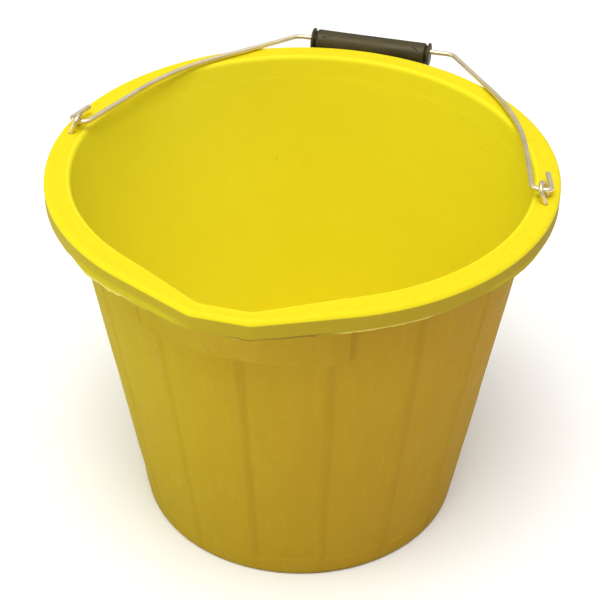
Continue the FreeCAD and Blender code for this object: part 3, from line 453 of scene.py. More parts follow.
# ------------------------------------------------------------------ swept wire
def sweep(points, radius, segs=20, wave=0.0, seed=1, ends=(0.35, 0.35)):
    """A tube along points, its ends cut off square with a small chamfer."""
    p = np.asarray(points, float)
    t = np.gradient(p, axis=0)
    t /= np.linalg.norm(t, axis=1)[:, None]
    ref = np.array([0.0, 0.0, 1.0]) if abs(t[0][2]) < 0.8 else np.array([0.0, 1.0, 0.0])
    u = np.cross(ref, t[0])
    u /= np.linalg.norm(u)
    us = [u]
    for i in range(1, len(p)):
        u = us[-1] - t[i] * (us[-1] @ t[i])
        us.append(u / np.linalg.norm(u))
    us = np.array(us)
    vs = np.cross(t, us)
    a = 2 * math.pi * np.arange(segs) / segs
    c, s_ = np.cos(a), np.sin(a)
    g = np.random.default_rng(seed)
    r = np.full(len(p), float(radius))
    if wave:
        n = g.normal(size=len(p))
        n = np.convolve(n, np.ones(5) / 5, "same")
        r = r * (1 + wave * n)
    rings = [(p[0], us[0], vs[0], r[0] - ends[0])]
    first = p[0] + t[0] * ends[0] * 0.8
    pp = p.copy()
    pp[0] = first
    last = p[-1] - t[-1] * ends[1] * 0.8
    pp[-1] = last
    for i in range(len(pp)):
        rings.append((pp[i], us[i], vs[i], r[i]))
    rings.append((p[-1], us[-1], vs[-1], r[-1] - ends[1]))
    vv = []
    for q, u, v, rr in rings:
        vv.append(q[None] + rr * (c[:, None] * u[None] + s_[:, None] * v[None]))
    vv = np.concatenate(vv)
    ff = []
    for i in range(len(rings) - 1):
        for k in range(segs):
            n = (k + 1) % segs
            ff.append((i * segs + k, i * segs + n, (i + 1) * segs + n, (i + 1) * segs + k))
    # caps with a slight dome
    e = len(vv)
    vv = np.vstack([vv, p[0] - t[0] * 0.12, p[-1] + t[-1] * 0.12])
    last0 = (len(rings) - 1) * segs
    for k in range(segs):
        n = (k + 1) % segs
        ff.append((e, n, k))
        ff.append((e + 1, last0 + k, last0 + n))
    return vv, ff


def bent(points, radii, step=2.5, arc_step=7.0):
    """Points along straight runs joined by tangent arcs, in a plane."""
    p = [np.array(q, float) for q in points]
    out = [p[0]]

    def run_to(q):
        a = out[-1]
        n = max(1, int(round(np.linalg.norm(q - a) / step)))
        for k in range(1, n + 1):
            out.append(a + (q - a) * k / n)

    for i in range(1, len(p) - 1):
        d0 = p[i] - p[i - 1]
        d1 = p[i + 1] - p[i]
        d0 /= np.linalg.norm(d0)
        d1 /= np.linalg.norm(d1)
        turn = math.acos(max(-1.0, min(1.0, float(d0 @ d1))))
        t = radii[i - 1] * math.tan(turn / 2)
        a = p[i] - d0 * t
        side = 1.0 if d0[0] * d1[1] - d0[1] * d1[0] > 0 else -1.0
        nrm = np.array([-d0[1], d0[0]]) * side
        centre = a + nrm * radii[i - 1]
        run_to(a)
        n = max(3, int(math.degrees(turn) / arc_step), int(turn * radii[i - 1] / step))
        v0 = a - centre
        for k in range(1, n + 1):
            f = side * turn * k / n
            out.append(
                centre
                + np.array([v0[0] * math.cos(f) - v0[1] * math.sin(f), v0[0] * math.sin(f) + v0[1] * math.cos(f)])
            )
    run_to(p[-1])
    return np.array(out)


# ------------------------------------------------------------------ the bail
REST = math.radians(1.72)


def on_bail(x, y):
    return np.array([x, y * math.cos(REST), 268.9 - y * math.sin(REST)])


flat = bent(
    [(-156.3, 21.5), (-162.1, 0), (-149.4, 0), (-121.8, 91.5), (-51.0, 172.9),
     (64.5, 175.7), (128.6, 90.4), (149.4, 0), (162.1, 0), (156.3, 21.5)],
    [3.6, 5.2, 205.0, 8.0, 8.0, 205.0, 5.2, 3.6],
)
line = np.array([on_bail(x, y) for x, y in flat])
# a bent wire is never quite straight: the arms wander by a tenth or two
arms = smooth(20, 50, line[:, 1]) * (1 - smooth(158, 166, line[:, 1]))
line[:, 0] += arms * 0.16 * np.sin(line[:, 1] / 17.0 + np.sign(line[:, 0]))
line[:, 2] += arms * 0.10 * np.sin(line[:, 1] / 23.0 + 2 * np.sign(line[:, 0]))
v, f = sweep(line, 1.75, 24, 0.0025, 11, (0.25, 0.25))
bail = link("bail_bent_wire", make_mesh("bail_bent_wire", v, f, None, 32.0))

# ------------------------------------------------------------------ the staples
staples = []
for name, sign in (("staple_right", 1), ("staple_left", -1)):
    h, rb, rise, drop, toe = 5.5, 2.4, 11.4, 6.4, 5.5
    pts = [(h + rb + toe, -drop), (h + rb + toe * 0.5, -drop)]
    for k in range(0, 11):
        a = math.pi / 2 * k / 10
        pts.append((h + rb - rb * math.sin(a), -drop + rb - rb * math.cos(a)))
    for k in range(1, 5):
        z = (-drop + rb) + ((rise - h) - (-drop + rb)) * k / 5
        pts.append((h, z))
    for k in range(0, 29):
        a = math.pi * k / 28
        pts.append((h * math.cos(a), rise - h + h * math.sin(a)))
    half = len(pts)
    for k in range(4, 0, -1):
        z = (-drop + rb) + ((rise - h) - (-drop + rb)) * k / 5
        pts.append((-h, z))
    for k in range(10, -1, -1):
        a = math.pi / 2 * k / 10
        pts.append((-h - rb + rb * math.sin(a), -drop + rb - rb * math.cos(a)))
    pts += [(-h - rb - toe * 0.5, -drop), (-h - rb - toe, -drop)]
    line = np.array([on_staple(sign, y, z) for y, z in pts])
    v, f = sweep(line, 1.55, 22, 0.003, 5 + sign, (0.3, 0.3))
    ob = link(name + "_wire", make_mesh(name + "_wire", v, f, None, 32.0))
    staples.append((ob, name))

# ------------------------------------------------------------------ the grip
g_left, g_right = on_bail(-51.0, 172.9), on_bail(64.5, 175.7)
along = (g_right - g_left) / np.linalg.norm(g_right - g_left)
middle = (g_left + g_right) / 2 - 3.0 * along
side = np.cross([0, 0, 1.0], along)
side /= np.linalg.norm(side)
up = np.cross(along, side)
sw = math.radians(31.0)
T = np.stack([along, side, up], 1) @ np.array(
    [[1, 0, 0], [0, math.cos(sw), -math.sin(sw)], [0, math.sin(sw), math.cos(sw)]]
)
tilt = math.radians(1.3)
AX = np.array([math.cos(tilt), 0, -math.sin(tilt)])
AZ = np.array([math.sin(tilt), 0, math.cos(tilt)])
AY = np.array([0, 1.0, 0])
HALF, RB, RE = 44.25, 8.4, 8.95
GS = 144
ga = 2 * math.pi * np.arange(GS) / GS  # 0 is +Y, 90 degrees is +Z
prof = [(-HALF, RE - 1.25), (-HALF + 0.12, RE - 0.75), (-HALF + 0.42, RE - 0.3), (-HALF + 0.85, RE - 0.06)]
prof += [(-HALF + 1.15, RE), (-HALF + 1.5, RE), (-HALF + 1.8, RE - 0.1), (-HALF + 2.05, RE - 0.4)]
prof += [(-HALF + 2.2, RB - 0.9), (-HALF + 2.4, RB - 1.5), (-HALF + 2.9, RB - 1.6), (-HALF + 3.4, RB - 1.5)]
prof += [(-HALF + 3.7, RB - 0.9), (-HALF + 4.1, RB - 0.4), (-HALF + 4.7, RB - 0.12), (-HALF + 5.4, RB - 0.02)]
body = [(x, RB) for x in np.arange(-HALF + 6.0, 0.0, 0.46)]
prof = prof + body
prof = prof + [(-x, r) for x, r in reversed(prof)]
px = np.array([x for x, r in prof])[:, None]
pr = np.array([r for x, r in prof])[:, None]
gr = np.repeat(pr, GS, axis=1)
deg = np.degrees(ga)[None]
deg = np.where(deg > 180, deg - 360, deg)
on_barrel = smooth(HALF - 5.2, HALF - 6.6, np.abs(px))


def stroke(x0, a0, x1, a1, width, depth):
    """A groove along a line drawn on the barrel from (x0, a0) to (x1, a1)."""
    k = math.radians(1) * RB
    ax_, ay_ = x0, a0 * k
    bx_, by_ = x1, a1 * k
    X_, Y_ = px + 0 * deg, deg * k + 0 * px
    dx, dy = bx_ - ax_, by_ - ay_
    t = np.clip(((X_ - ax_) * dx + (Y_ - ay_) * dy) / (dx * dx + dy * dy), 0, 1)
    d = np.hypot(X_ - ax_ - t * dx, Y_ - ay_ - t * dy)
    return depth * np.exp(-((d / width) ** 2))


gmask = np.zeros_like(gr)
for mirror in (1, -1):
    for x0, a0, x1, a1 in ((-36.3, 107, -31.5, 91), (31.2, 88, 34.9, 112)):
        m1 = stroke(x0, a0 * mirror, x1, a1 * mirror, 0.46, 1.0)
        gmask = np.maximum(gmask, m1)
    m2 = stroke(-24.0, 92 * mirror, -20.5, 84 * mirror, 0.36, 0.30)
    m3 = stroke(29.0, 80 * mirror, 26.6, 72 * mirror, 0.36, 0.22)
    gmask = np.maximum(gmask, np.maximum(m2, m3))
gr = gr - 0.38 * gmask * on_barrel
# worn and slightly waisted, with the two halves' parting line along it
gr = gr - 0.10 * on_barrel * (1 - (px / 38.0) ** 2).clip(0, 1)
for line_at in (8.0, -172.0):
    gr = gr + 0.10 * on_barrel * np.exp(-(((deg - line_at) / 1.6) ** 2))
gx_ = px + 0 * deg
wob = wobble(gx_, gr * np.cos(ga)[None], gr * np.sin(ga)[None], 21, 9.0)
gr = gr - 0.05 * on_barrel * (0.5 + 0.5 * wob)
C = np.array([0, 0, -3.6])
loc = (
    C[None, None]
    + gx_[..., None] * AX
    + (gr * np.cos(ga)[None])[..., None] * AY
    + (gr * np.sin(ga)[None])[..., None] * AZ
)
P = len(prof)
gv = loc.reshape(-1, 3)
gf = []
for i in range(P - 1):
    for k in range(GS):
        n = (k + 1) % GS
        gf.append((i * GS + k, i * GS + n, (i + 1) * GS + n, (i + 1) * GS + k))
# ends: from the collar's edge in to the bore, dished a little, and the bore through
loops = {}
for end, base in ((-1, 0), (1, (P - 1) * GS)):
    prev = [base + k for k in range(GS)]
    ring_out = gv[base:base + GS]
    axis_pt = C + AX * (end * HALF)
    bore_x = axis_pt[0] / 1.0
    for t, inset in ((0.22, 0.0), (0.42, 0.45), (0.72, 0.55), (1.0, 0.35), (1.0, 1.2)):
        rb_ = 1.86
        bore = np.stack(
            [np.full(GS, bore_x), rb_ * np.cos(ga), rb_ * np.sin(ga)], 1
        )
        # bore edge lies in the end's own plane
        bore[:, 0] = (end * HALF - (bore - C)[:, 1:] @ AX[1:]) / AX[0]
        q = ring_out * (1 - t) + bore * t - AX[None] * (end * inset)
        start = len(gv)
        gv = np.vstack([gv, q])
        cur = [start + k for k in range(GS)]
        for k in range(GS):
            n = (k + 1) % GS
            gf.append((prev[k], prev[n], cur[n], cur[k]) if end > 0 else (prev[n], prev[k], cur[k], cur[n]))
        prev = cur
    loops[end] = prev
for k in range(GS):
    n = (k + 1) % GS
    gf.append((loops[-1][k], loops[-1][n], loops[1][n], loops[1][k]))
gw = middle[None] + gv @ T.T
mk = np.concatenate([(gmask * on_barrel).reshape(-1), np.zeros(len(gv) - P * GS)])
# the grip's grooves, its marks and its ends are painted darker in its material: painted shade in those recesses
recess_shade = np.concatenate(
    [(smooth(RB - 0.05, RB - 0.9, gr) * np.ones_like(gr)).reshape(-1), np.full(len(gv) - P * GS, 0.35)]
)
grip = link("grip_moulding", make_mesh("grip_moulding", gw, gf, {"mark": mk, "recess_shade": recess_shade}, 50.0))


# ------------------------------------------------------------------ slivers of flash
def wall_point(theta, z, lift=0.0):
    """A point on the outside of the wall, theta degrees from the lip's middle."""
    r, _ = outer(z)
    rr = float(np.interp(theta, dense, r)) + lift
    t = math.radians(theta)
    return np.array([rr * math.sin(t), -rr * math.cos(t), z])


def skirt_point(theta, z, lift=0.0):
    rr = float(np.interp(theta, dense, rim_out)) + lift
    t = math.radians(theta)
    return np.array([rr * math.sin(t), -rr * math.cos(t), z])


def sliver(points, width, thick):
    """A thin tapered burr along points, flattened against what it grows from."""
    p = np.asarray(points, float)
    n = len(p)
    t = np.gradient(p, axis=0)
    t /= np.linalg.norm(t, axis=1)[:, None]
    out = p.copy()
    out[:, 2] = 0
    out /= np.linalg.norm(out, axis=1)[:, None]
    upv = np.cross(t, out)
    upv /= np.linalg.norm(upv, axis=1)[:, None]
    vv, ff = [], []
    S = 8
    for i in range(n):
        k = math.sin(math.pi * (i + 0.5) / n) ** 0.6
        for j in range(S):
            a = 2 * math.pi * j / S
            vv.append(p[i] + out[i] * thick * k * math.cos(a) + upv[i] * width * k * math.sin(a))
    for i in range(n - 1):
        for j in range(S):
            m = (j + 1) % S
            ff.append((i * S + j, i * S + m, (i + 1) * S + m, (i + 1) * S + j))
    e = len(vv)
    vv.append(p[0] - t[0] * 0.2)
    vv.append(p[-1] + t[-1] * 0.2)
    for j in range(S):
        m = (j + 1) % S
        ff.append((e, m, j))
        ff.append((e + 1, (n - 1) * S + j, (n - 1) * S + m))
    return vv, ff


all_v, all_f = [], []


def keep_sliver(vv, ff):
    base = len(all_v)
    all_v.extend([tuple(q) for q in vv])
    all_f.extend([tuple(base + i for i in face) for face in ff])


# burrs on the wall and along the apron's lower edge
for th0, z0, th1, z1, w, k in (
    (-27.6, 213.6, -26.9, 211.9, 0.42, 0.42),
    (-24.4, 211.0, -22.0, 209.9, 0.30, 0.34),
    (-7.3, 216.6, -6.4, 211.8, 0.16, 0.12),
    (-3.6, 77.9, -3.3, 76.4, 0.26, 0.16),
    (-21.7, 138.2, -21.3, 136.4, 0.26, 0.16),
):
    keep_sliver(*sliver([wall_point(th0 + (th1 - th0) * s_, z0 + (z1 - z0) * s_, 0.05) for s_ in np.linspace(0, 1, 7)], w, k))
# loose flash hanging under the skirt
for th0, th1, dz, w in (
    (-13.3, -12.0, 0.7, 0.42),
    (2.2, 3.9, 1.4, 0.42),
    (-47.0, -42.0, 1.0, 0.5),
    (-39.0, -35.5, 1.1, 0.55),
    (-33.8, -32.2, 0.8, 0.4),
    (23.0, 31.0, 0.5, 0.3),
    (33.0, 40.0, 0.55, 0.3),
):
    pts = [skirt_point(th0 + (th1 - th0) * s_, SKIRT_Z - dz * math.sin(math.pi * s_) ** 0.5 * 0.6, -0.55) for s_ in np.linspace(0, 1, 11)]
    keep_sliver(*sliver(pts, w, 0.3))
slivers = link("flash_slivers", make_mesh("flash_slivers", all_v, all_f, None, 60.0))


# ------------------------------------------------------------------ materials
def new_material(name):
    m = bpy.data.materials.new(name)
    m.use_nodes = True
    nt = m.node_tree
    nt.nodes.clear()
    out = nt.nodes.new("ShaderNodeOutputMaterial")
    bsdf = nt.nodes.new("ShaderNodeBsdfPrincipled")
    nt.links.new(bsdf.outputs[0], out.inputs["Surface"])
    return m, nt, bsdf


def coords(nt, scale=(1, 1, 1)):
    tc = nt.nodes.new("ShaderNodeTexCoord")
    mp = nt.nodes.new("ShaderNodeMapping")
    mp.inputs["Scale"].default_value = scale
    nt.links.new(tc.outputs["Object"], mp.inputs["Vector"])
    return mp.outputs["Vector"]


def noise(nt, vec, scale, detail=3.0, rough=0.55, distortion=0.0):
    n = nt.nodes.new("ShaderNodeTexNoise")
    n.inputs["Scale"].default_value = scale
    n.inputs["Detail"].default_value = detail
    n.inputs["Roughness"].default_value = rough
    n.inputs["Distortion"].default_value = distortion
    nt.links.new(vec, n.inputs["Vector"])
    return n.outputs["Fac"]


def ramp(nt, fac, lo, hi, a=0.0, b=1.0):
    n = nt.nodes.new("ShaderNodeMapRange")
    n.inputs["From Min"].default_value = lo
    n.inputs["From Max"].default_value = hi
    n.inputs["To Min"].default_value = a
    n.inputs["To Max"].default_value = b
    n.interpolation_type = "SMOOTHSTEP"
    nt.links.new(fac, n.inputs["Value"])
    return n.outputs["Result"]


def math_node(nt, op, a, b=None):
    n = nt.nodes.new("ShaderNodeMath")
    n.operation = op
    for i, x in enumerate((a, b)):
        if x is None:
            continue
        if isinstance(x, (int, float)):
            n.inputs[i].default_value = x
        else:
            nt.links.new(x, n.inputs[i])
    return n.outputs[0]


def mix(nt, fac, a, b, kind="MIX"):
    n = nt.nodes.new("ShaderNodeMix")
    n.data_type = "RGBA"
    n.blend_type = kind
    n.clamp_factor = True
    for sock, x in (("Factor", fac), ("A", a), ("B", b)):
        target = [i for i in n.inputs if i.name == sock and (sock == "Factor" and i.type == "VALUE" or i.type == "RGBA")][0]
        if isinstance(x, (int, float)):
            target.default_value = x
        elif isinstance(x, tuple):
            target.default_value = (*x, 1.0)
        else:
            nt.links.new(x, target)
    return [o for o in n.outputs if o.type == "RGBA"][0]


def attribute(nt, name):
    n = nt.nodes.new("ShaderNodeAttribute")
    n.attribute_name = name
    return n.outputs["Fac"]


def bump(nt, height, strength, distance, normal=None):
    n = nt.nodes.new("ShaderNodeBump")
    n.inputs["Strength"].default_value = strength
    n.inputs["Distance"].default_value = distance
    nt.links.new(height, n.inputs["Height"])
    if normal is not None:
        nt.links.new(normal, n.inputs["Normal"])
    return n.outputs["Normal"]


YELLOW = (0.80, 0.635, 0.012)


def yellow(name, masked=True):
    m, nt, b = new_material(name)
    plain = coords(nt)
    tall = coords(nt, (1.0, 1.0, 0.07))
    cloudy = noise(nt, plain, 16.0, 3.0, 0.5)
    fine = noise(nt, plain, 120.0, 4.0, 0.6)
    streak = noise(nt, tall, 70.0, 3.0, 0.5)
    col = mix(nt, ramp(nt, cloudy, 0.3, 0.7), (0.790, 0.690, 0.015), (0.815, 0.718, 0.018))
    col = mix(nt, ramp(nt, fine, 0.35, 0.68, 0.0, 0.35), col, (0.770, 0.665, 0.014))
    col = mix(nt, ramp(nt, streak, 0.52, 0.75, 0.0, 0.28), col, (0.835, 0.745, 0.025))
    if not masked:
        # thin flash is whitened by the strain of tearing
        col = mix(nt, ramp(nt, fine, 0.3, 0.7, 0.75, 0.95), col, (0.56, 0.43, 0.11))
    else:
        wall = attribute(nt, "wall")
        under = attribute(nt, "under")
        low = attribute(nt, "low")
        skirt = attribute(nt, "skirt")
        burr = attribute(nt, "burr")
        inside = attribute(nt, "inside")
        rib = attribute(nt, "ribedge")
        below = attribute(nt, "below")
        rim = attribute(nt, "rim")
        # the rim's top is painted a slightly darker yellow than the inside: painted shade that tones down its
        # up-facing top under the key light
        peel = ramp(nt, noise(nt, plain, 260.0, 3.0, 0.6), 0.36, 0.68)
        top = mix(nt, peel, (0.724, 0.594, 0.011), (0.752, 0.622, 0.013))
        col = mix(nt, rim, col, top)
        # the outside is toned browner and darker than the inside, to match the reference view: painted shade on the
        # outer wall, painted light and shade along east
        dirt = noise(nt, tall, 60.0, 4.0, 0.6)
        blotch = noise(nt, coords(nt, (1.0, 1.0, 0.55)), 21.0, 4.0, 0.6)
        east = attribute(nt, "east")
        tone = mix(nt, ramp(nt, east, 0.08, 0.95), (0.506, 0.378, 0.016), (0.436, 0.256, 0.019))
        tone = mix(nt, ramp(nt, dirt, 0.35, 0.72, 0.0, 0.10), tone, (0.60, 0.42, 0.022))
        tone = mix(nt, ramp(nt, blotch, 0.54, 0.70, 0.0, 0.14), tone, (0.36, 0.215, 0.009))
        # the ribs are painted darker, more so towards +X: painted shade on the ribs
        rib_painted_shade = math_node(nt, "MULTIPLY", attribute(nt, "rib"), ramp(nt, east, 0.15, 0.60, 0.04, 0.34))
        tone = mix(nt, rib_painted_shade, tone, (0.335, 0.200, 0.009))
        # painted shade along the apron's two ends, darker towards +X
        tone = mix(nt, math_node(nt, "MULTIPLY", attribute(nt, "crease"), ramp(nt, east, 0.3, 0.6, 0.22, 0.42)), tone, (0.27, 0.155, 0.008))
        tone = mix(nt, math_node(nt, "MULTIPLY", attribute(nt, "foot"), 0.46), tone, (0.335, 0.208, 0.009))
        mottle = ramp(nt, noise(nt, plain, 250.0, 4.0, 0.7), 0.42, 0.66, 0.0, 0.16)
        tone = mix(nt, mottle, tone, (0.375, 0.232, 0.012))
        grain = ramp(nt, noise(nt, tall, 190.0, 3.0, 0.6), 0.5, 0.72, 0.0, 0.07)
        tone = mix(nt, grain, tone, (0.62, 0.46, 0.03))
        col = mix(nt, wall, col, tone)
        # the skirt is painted darker than the rim's top, more so towards +X: painted shade on the upright skirt;
        # where the torn flash leans out it is painted lighter, partly the flash's own paler plastic and partly
        # painted light
        side = mix(nt, ramp(nt, east, 0.15, 0.85), (0.432, 0.335, 0.018), (0.350, 0.243, 0.018))
        side = mix(nt, math_node(nt, "MULTIPLY", attribute(nt, "fresh"), 0.8), side, (0.485, 0.415, 0.016))
        col = mix(nt, math_node(nt, "MULTIPLY", skirt, 0.92), col, side)
        # the rim's underside and the wall just below the skirt are painted darker: painted shade under the rim
        col = mix(nt, math_node(nt, "MULTIPLY", under, 0.35), col, (0.48, 0.32, 0.012))
        grime = math_node(nt, "MULTIPLY", ramp(nt, noise(nt, plain, 45.0, 4.0), 0.42, 0.7), low)
        col = mix(nt, math_node(nt, "MULTIPLY", grime, 0.25), col, (0.42, 0.29, 0.03))
        col = mix(nt, math_node(nt, "MULTIPLY", burr, 0.7), col, (0.84, 0.70, 0.16))
        # a thin darker line along each rib's flanks: painted shade
        col = mix(nt, math_node(nt, "MULTIPLY", rib, 0.06), col, (0.40, 0.24, 0.010))
        # painted shadow along the skirt's lower edge, and the darker heel
        col = mix(nt, math_node(nt, "MULTIPLY", attribute(nt, "stain"), ramp(nt, fine, 0.25, 0.6, 0.45, 0.85)), col, (0.16, 0.095, 0.010))
        col = mix(nt, math_node(nt, "MULTIPLY", below, 0.3), col, (0.50, 0.37, 0.05))
        # the inside is painted lighter towards -X: painted light that lifts the shade on that side of the inside
        inside_painted_light = mix(nt, ramp(nt, east, 0.05, 0.42), (0.845, 0.762, 0.036), (0.800, 0.700, 0.022))
        col = mix(nt, math_node(nt, "MULTIPLY", inside, 0.7), col, inside_painted_light)
    # scuffs: short pale lines, mostly upright, and a few dark specks
    scuff_v = coords(nt, (1.0, 1.0, 0.16))
    scuff = ramp(nt, noise(nt, scuff_v, 330.0, 2.0, 0.4, 0.6), 0.73, 0.80)
    where = ramp(nt, noise(nt, plain, 9.0, 2.0), 0.5, 0.66)
    scuffs = math_node(nt, "MULTIPLY", scuff, where)
    col = mix(nt, math_node(nt, "MULTIPLY", scuffs, 0.22), col, (0.88, 0.78, 0.16))
    cells = nt.nodes.new("ShaderNodeTexVoronoi")
    cells.inputs["Scale"].default_value = 85.0
    nt.links.new(plain, cells.inputs["Vector"])
    dots = ramp(nt, cells.outputs["Distance"], 0.075, 0.03)
    some = ramp(nt, noise(nt, plain, 26.0, 2.0), 0.56, 0.64)
    specks = math_node(nt, "MULTIPLY", dots, some)
    col = mix(nt, math_node(nt, "MULTIPLY", specks, 0.55), col, (0.34, 0.24, 0.04))
    nt.links.new(col, b.inputs["Base Color"])
    rough = ramp(nt, noise(nt, plain, 34.0, 4.0, 0.6), 0.3, 0.7, 0.48, 0.60)
    rough = math_node(nt, "ADD", rough, math_node(nt, "MULTIPLY", scuffs, 0.2))
    if masked:
        rough = math_node(nt, "ADD", rough, math_node(nt, "MULTIPLY", wall, 0.14))
    nt.links.new(rough, b.inputs["Roughness"])
    b.inputs["IOR"].default_value = 1.49
    b.inputs["Specular IOR Level"].default_value = 0.06
    n1 = bump(nt, noise(nt, plain, 420.0, 4.0, 0.65), 0.16, 0.0005)
    n2 = bump(nt, streak, 0.10, 0.0006, n1)
    n3 = bump(nt, cloudy, 0.18, 0.0022, n2)
    n4 = bump(nt, scuffs, 0.25, 0.0002, n3)
    nt.links.new(n4, b.inputs["Normal"])
    return m


def steel(name, base, dark, rough_lo, rough_hi):
    m, nt, b = new_material(name)
    plain = coords(nt)
    cloudy = noise(nt, plain, 60.0, 4.0, 0.6)
    fine = noise(nt, plain, 520.0, 4.0, 0.65)
    col = mix(nt, ramp(nt, cloudy, 0.35, 0.68), base, tuple(0.86 * c for c in base))
    col = mix(nt, ramp(nt, fine, 0.55, 0.78, 0.0, 0.28), col, dark)
    rust = math_node(nt, "MULTIPLY", ramp(nt, noise(nt, plain, 230.0, 4.0, 0.7), 0.60, 0.70), ramp(nt, noise(nt, plain, 30.0, 2.0), 0.48, 0.62))
    col = mix(nt, math_node(nt, "MULTIPLY", rust, 0.22), col, (0.30, 0.19, 0.09))
    nt.links.new(col, b.inputs["Base Color"])
    b.inputs["Metallic"].default_value = 0.82
    rough = ramp(nt, noise(nt, plain, 180.0, 4.0, 0.6), 0.3, 0.7, rough_lo, rough_hi)
    rough = math_node(nt, "ADD", rough, math_node(nt, "MULTIPLY", rust, 0.25))
    nt.links.new(rough, b.inputs["Roughness"])
    n1 = bump(nt, fine, 0.10, 0.0001)
    n2 = bump(nt, cloudy, 0.10, 0.0003, n1)
    nt.links.new(n2, b.inputs["Normal"])
    return m


def black(name):
    m, nt, b = new_material(name)
    plain = coords(nt)
    long_ = coords(nt, (0.12, 1.0, 1.0))
    cloudy = noise(nt, plain, 55.0, 3.0, 0.55)
    grain = noise(nt, plain, 1100.0, 3.0, 0.6)
    streak = noise(nt, long_, 420.0, 3.0, 0.6)
    col = mix(nt, ramp(nt, cloudy, 0.3, 0.7), (0.037, 0.029, 0.012), (0.052, 0.041, 0.018))
    col = mix(nt, ramp(nt, streak, 0.5, 0.75, 0.0, 0.4), col, (0.062, 0.049, 0.024))
    # the moulded marks are painted darker: painted shade in their grooves
    col = mix(nt, math_node(nt, "MULTIPLY", attribute(nt, "mark"), 0.8), col, (0.010, 0.008, 0.004))
    # painted shade in the grooves and on the ends
    col = mix(nt, math_node(nt, "MULTIPLY", attribute(nt, "recess_shade"), 0.8), col, (0.010, 0.008, 0.004))
    dust = math_node(nt, "MULTIPLY", ramp(nt, noise(nt, plain, 300.0, 5.0, 0.7), 0.6, 0.72), 0.35)
    col = mix(nt, dust, col, (0.11, 0.09, 0.05))
    nt.links.new(col, b.inputs["Base Color"])
    nt.links.new(ramp(nt, cloudy, 0.3, 0.7, 0.40, 0.52), b.inputs["Roughness"])
    b.inputs["IOR"].default_value = 1.5
    b.inputs["Specular IOR Level"].default_value = 0.36
    b.inputs["Specular Tint"].default_value = (1.0, 0.88, 0.60, 1.0)
    n1 = bump(nt, grain, 0.2, 0.00025)
    n2 = bump(nt, streak, 0.12, 0.0003, n1)
    nt.links.new(n2, b.inputs["Normal"])
    return m


mat_yellow = yellow("yellow_polypropylene")
mat_burr = yellow("yellow_flash", masked=False)
mat_bail = steel("bail_steel_wire", (0.84, 0.725, 0.50), (0.50, 0.40, 0.22), 0.31, 0.44)
mat_staple = steel("staple_steel_wire", (0.80, 0.68, 0.45), (0.42, 0.32, 0.16), 0.27, 0.40)
mat_black = black("black_grip_plastic")

shell.data.materials.append(mat_yellow)
slivers.data.materials.append(mat_burr)
bail.data.materials.append(mat_bail)
grip.data.materials.append(mat_black)
for ob, _ in staples:
    ob.data.materials.append(mat_staple)

# ------------------------------------------------------------------ riding
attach(shell, "bucket")
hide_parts("bucket_shell")
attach(slivers, "bucket")
for ob, node in staples:
    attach(ob, "bucket")
    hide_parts(node)
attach(bail, "bail")
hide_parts("bail_wire")
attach(grip, "grip_body")
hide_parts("grip")

# ------------------------------------------------------------------ studio
bm = bmesh.new()
STEPS = 48
rings = []
for rr in (0.0, 0.6, 1.4, 3.0, 7.0, 16.0):
    if rr == 0.0:
        rings.append([bm.verts.new((0, 0, 0))])
    else:
        rings.append([bm.verts.new((rr * math.cos(2 * math.pi * k / STEPS), rr * math.sin(2 * math.pi * k / STEPS), 0)) for k in range(STEPS)])
for a, b in zip(rings, rings[1:]):
    for k in range(STEPS):
        n = (k + 1) % STEPS
        if len(a) == 1:
            bm.faces.new((a[0], b[k], b[n]))
        else:
            bm.faces.new((a[k], b[k], b[n], a[n]))
floor_me = bpy.data.meshes.new("floor")
bm.to_mesh(floor_me)
bm.free()
floor = link("floor", floor_me)
floor.location = (0, 0, -0.0002)
fm, fnt, fb = new_material("pale_floor")
fcol = mix(fnt, ramp(fnt, noise(fnt, coords(fnt), 3.0, 3.0), 0.3, 0.7), (0.925, 0.925, 0.922), (0.94, 0.94, 0.938))
fnt.links.new(fcol, fb.inputs["Base Color"])
fb.inputs["Roughness"].default_value = 0.9
fb.inputs["Specular IOR Level"].default_value = 0.1
floor.data.materials.append(fm)

world = bpy.data.worlds.new("studio")
scene.world = world
world.use_nodes = True
bg = world.node_tree.nodes["Background"]
bg.inputs["Color"].default_value = (1.0, 0.99, 0.97, 1)
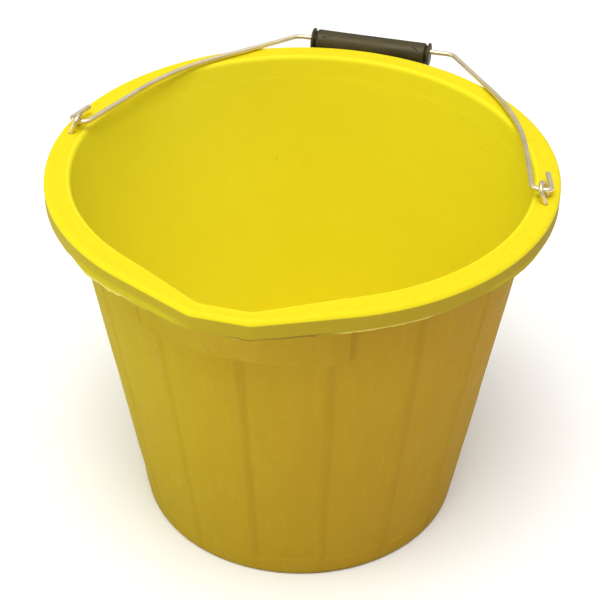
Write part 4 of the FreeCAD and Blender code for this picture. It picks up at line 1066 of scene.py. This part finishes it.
# brighter overhead, as under a wide soft box
wt = world.node_tree
w_tc = wt.nodes.new("ShaderNodeTexCoord")
w_sep = wt.nodes.new("ShaderNodeSeparateXYZ")
wt.links.new(w_tc.outputs["Generated"], w_sep.inputs[0])
sky = ramp(wt, w_sep.outputs["Z"], 0.15, 0.85, 0.16, 0.96)
haze = ramp(wt, w_sep.outputs["Z"], 0.0, 0.09, 0.62, 0.0)
wt.links.new(math_node(wt, "ADD", sky, haze), bg.inputs["Strength"])


def area(name, location, target, size, energy, colour=(1, 1, 1)):
    li = bpy.data.lights.new(name, "AREA")
    li.shape = "DISK"
    li.size = size
    li.energy = energy
    li.color = colour
    ob = bpy.data.objects.new(name, li)
    scene.collection.objects.link(ob)
    ob.location = location
    d = Vector(target) - Vector(location)
    ob.rotation_euler = d.to_track_quat("-Z", "Y").to_euler()
    return ob


area("key_light", (0.15, -1.50, 4.5), (0, 0.1, 0.2), 3.0, 150.0, (1.0, 0.997, 0.985))
area("left_light", (-2.3, -1.0, 0.9), (0, 0, 0.12), 1.5, 12.0, (0.84, 1.0, 0.50))
area("front_fill", (1.1, -2.3, 0.45), (0, 0, 0.10), 1.4, 1.8, (1.0, 0.50, 0.15))

az, el, roll = math.radians(15.3), math.radians(35.943), math.radians(0.468)
back = Vector((math.sin(az) * math.cos(el), -math.cos(az) * math.cos(el), math.sin(el)))
right = Vector((math.cos(az), math.sin(az), 0.0))
upv = back.cross(right)
R_ = right * math.cos(roll) + upv * math.sin(roll)
U_ = -right * math.sin(roll) + upv * math.cos(roll)
cam_data = bpy.data.cameras.new("camera")
cam_data.lens = 93.87
cam_data.sensor_width = 36.0
cam_data.clip_start = 0.01
cam_data.clip_end = 60.0
cam = bpy.data.objects.new("camera", cam_data)
scene.collection.objects.link(cam)
m3 = Matrix((R_, U_, back)).transposed()
cam.matrix_world = Matrix.Translation((0.23014, -0.84449, 0.78690)) @ m3.to_4x4()
scene.camera = cam
scene.view_settings.view_transform = "Standard"
scene.view_settings.look = "None"
scene.view_settings.exposure = 0.0
scene.view_settings.gamma = 1.0

bpy.context.view_layer.update()
print("shell", len(shell.data.vertices), "grip", len(grip.data.vertices))
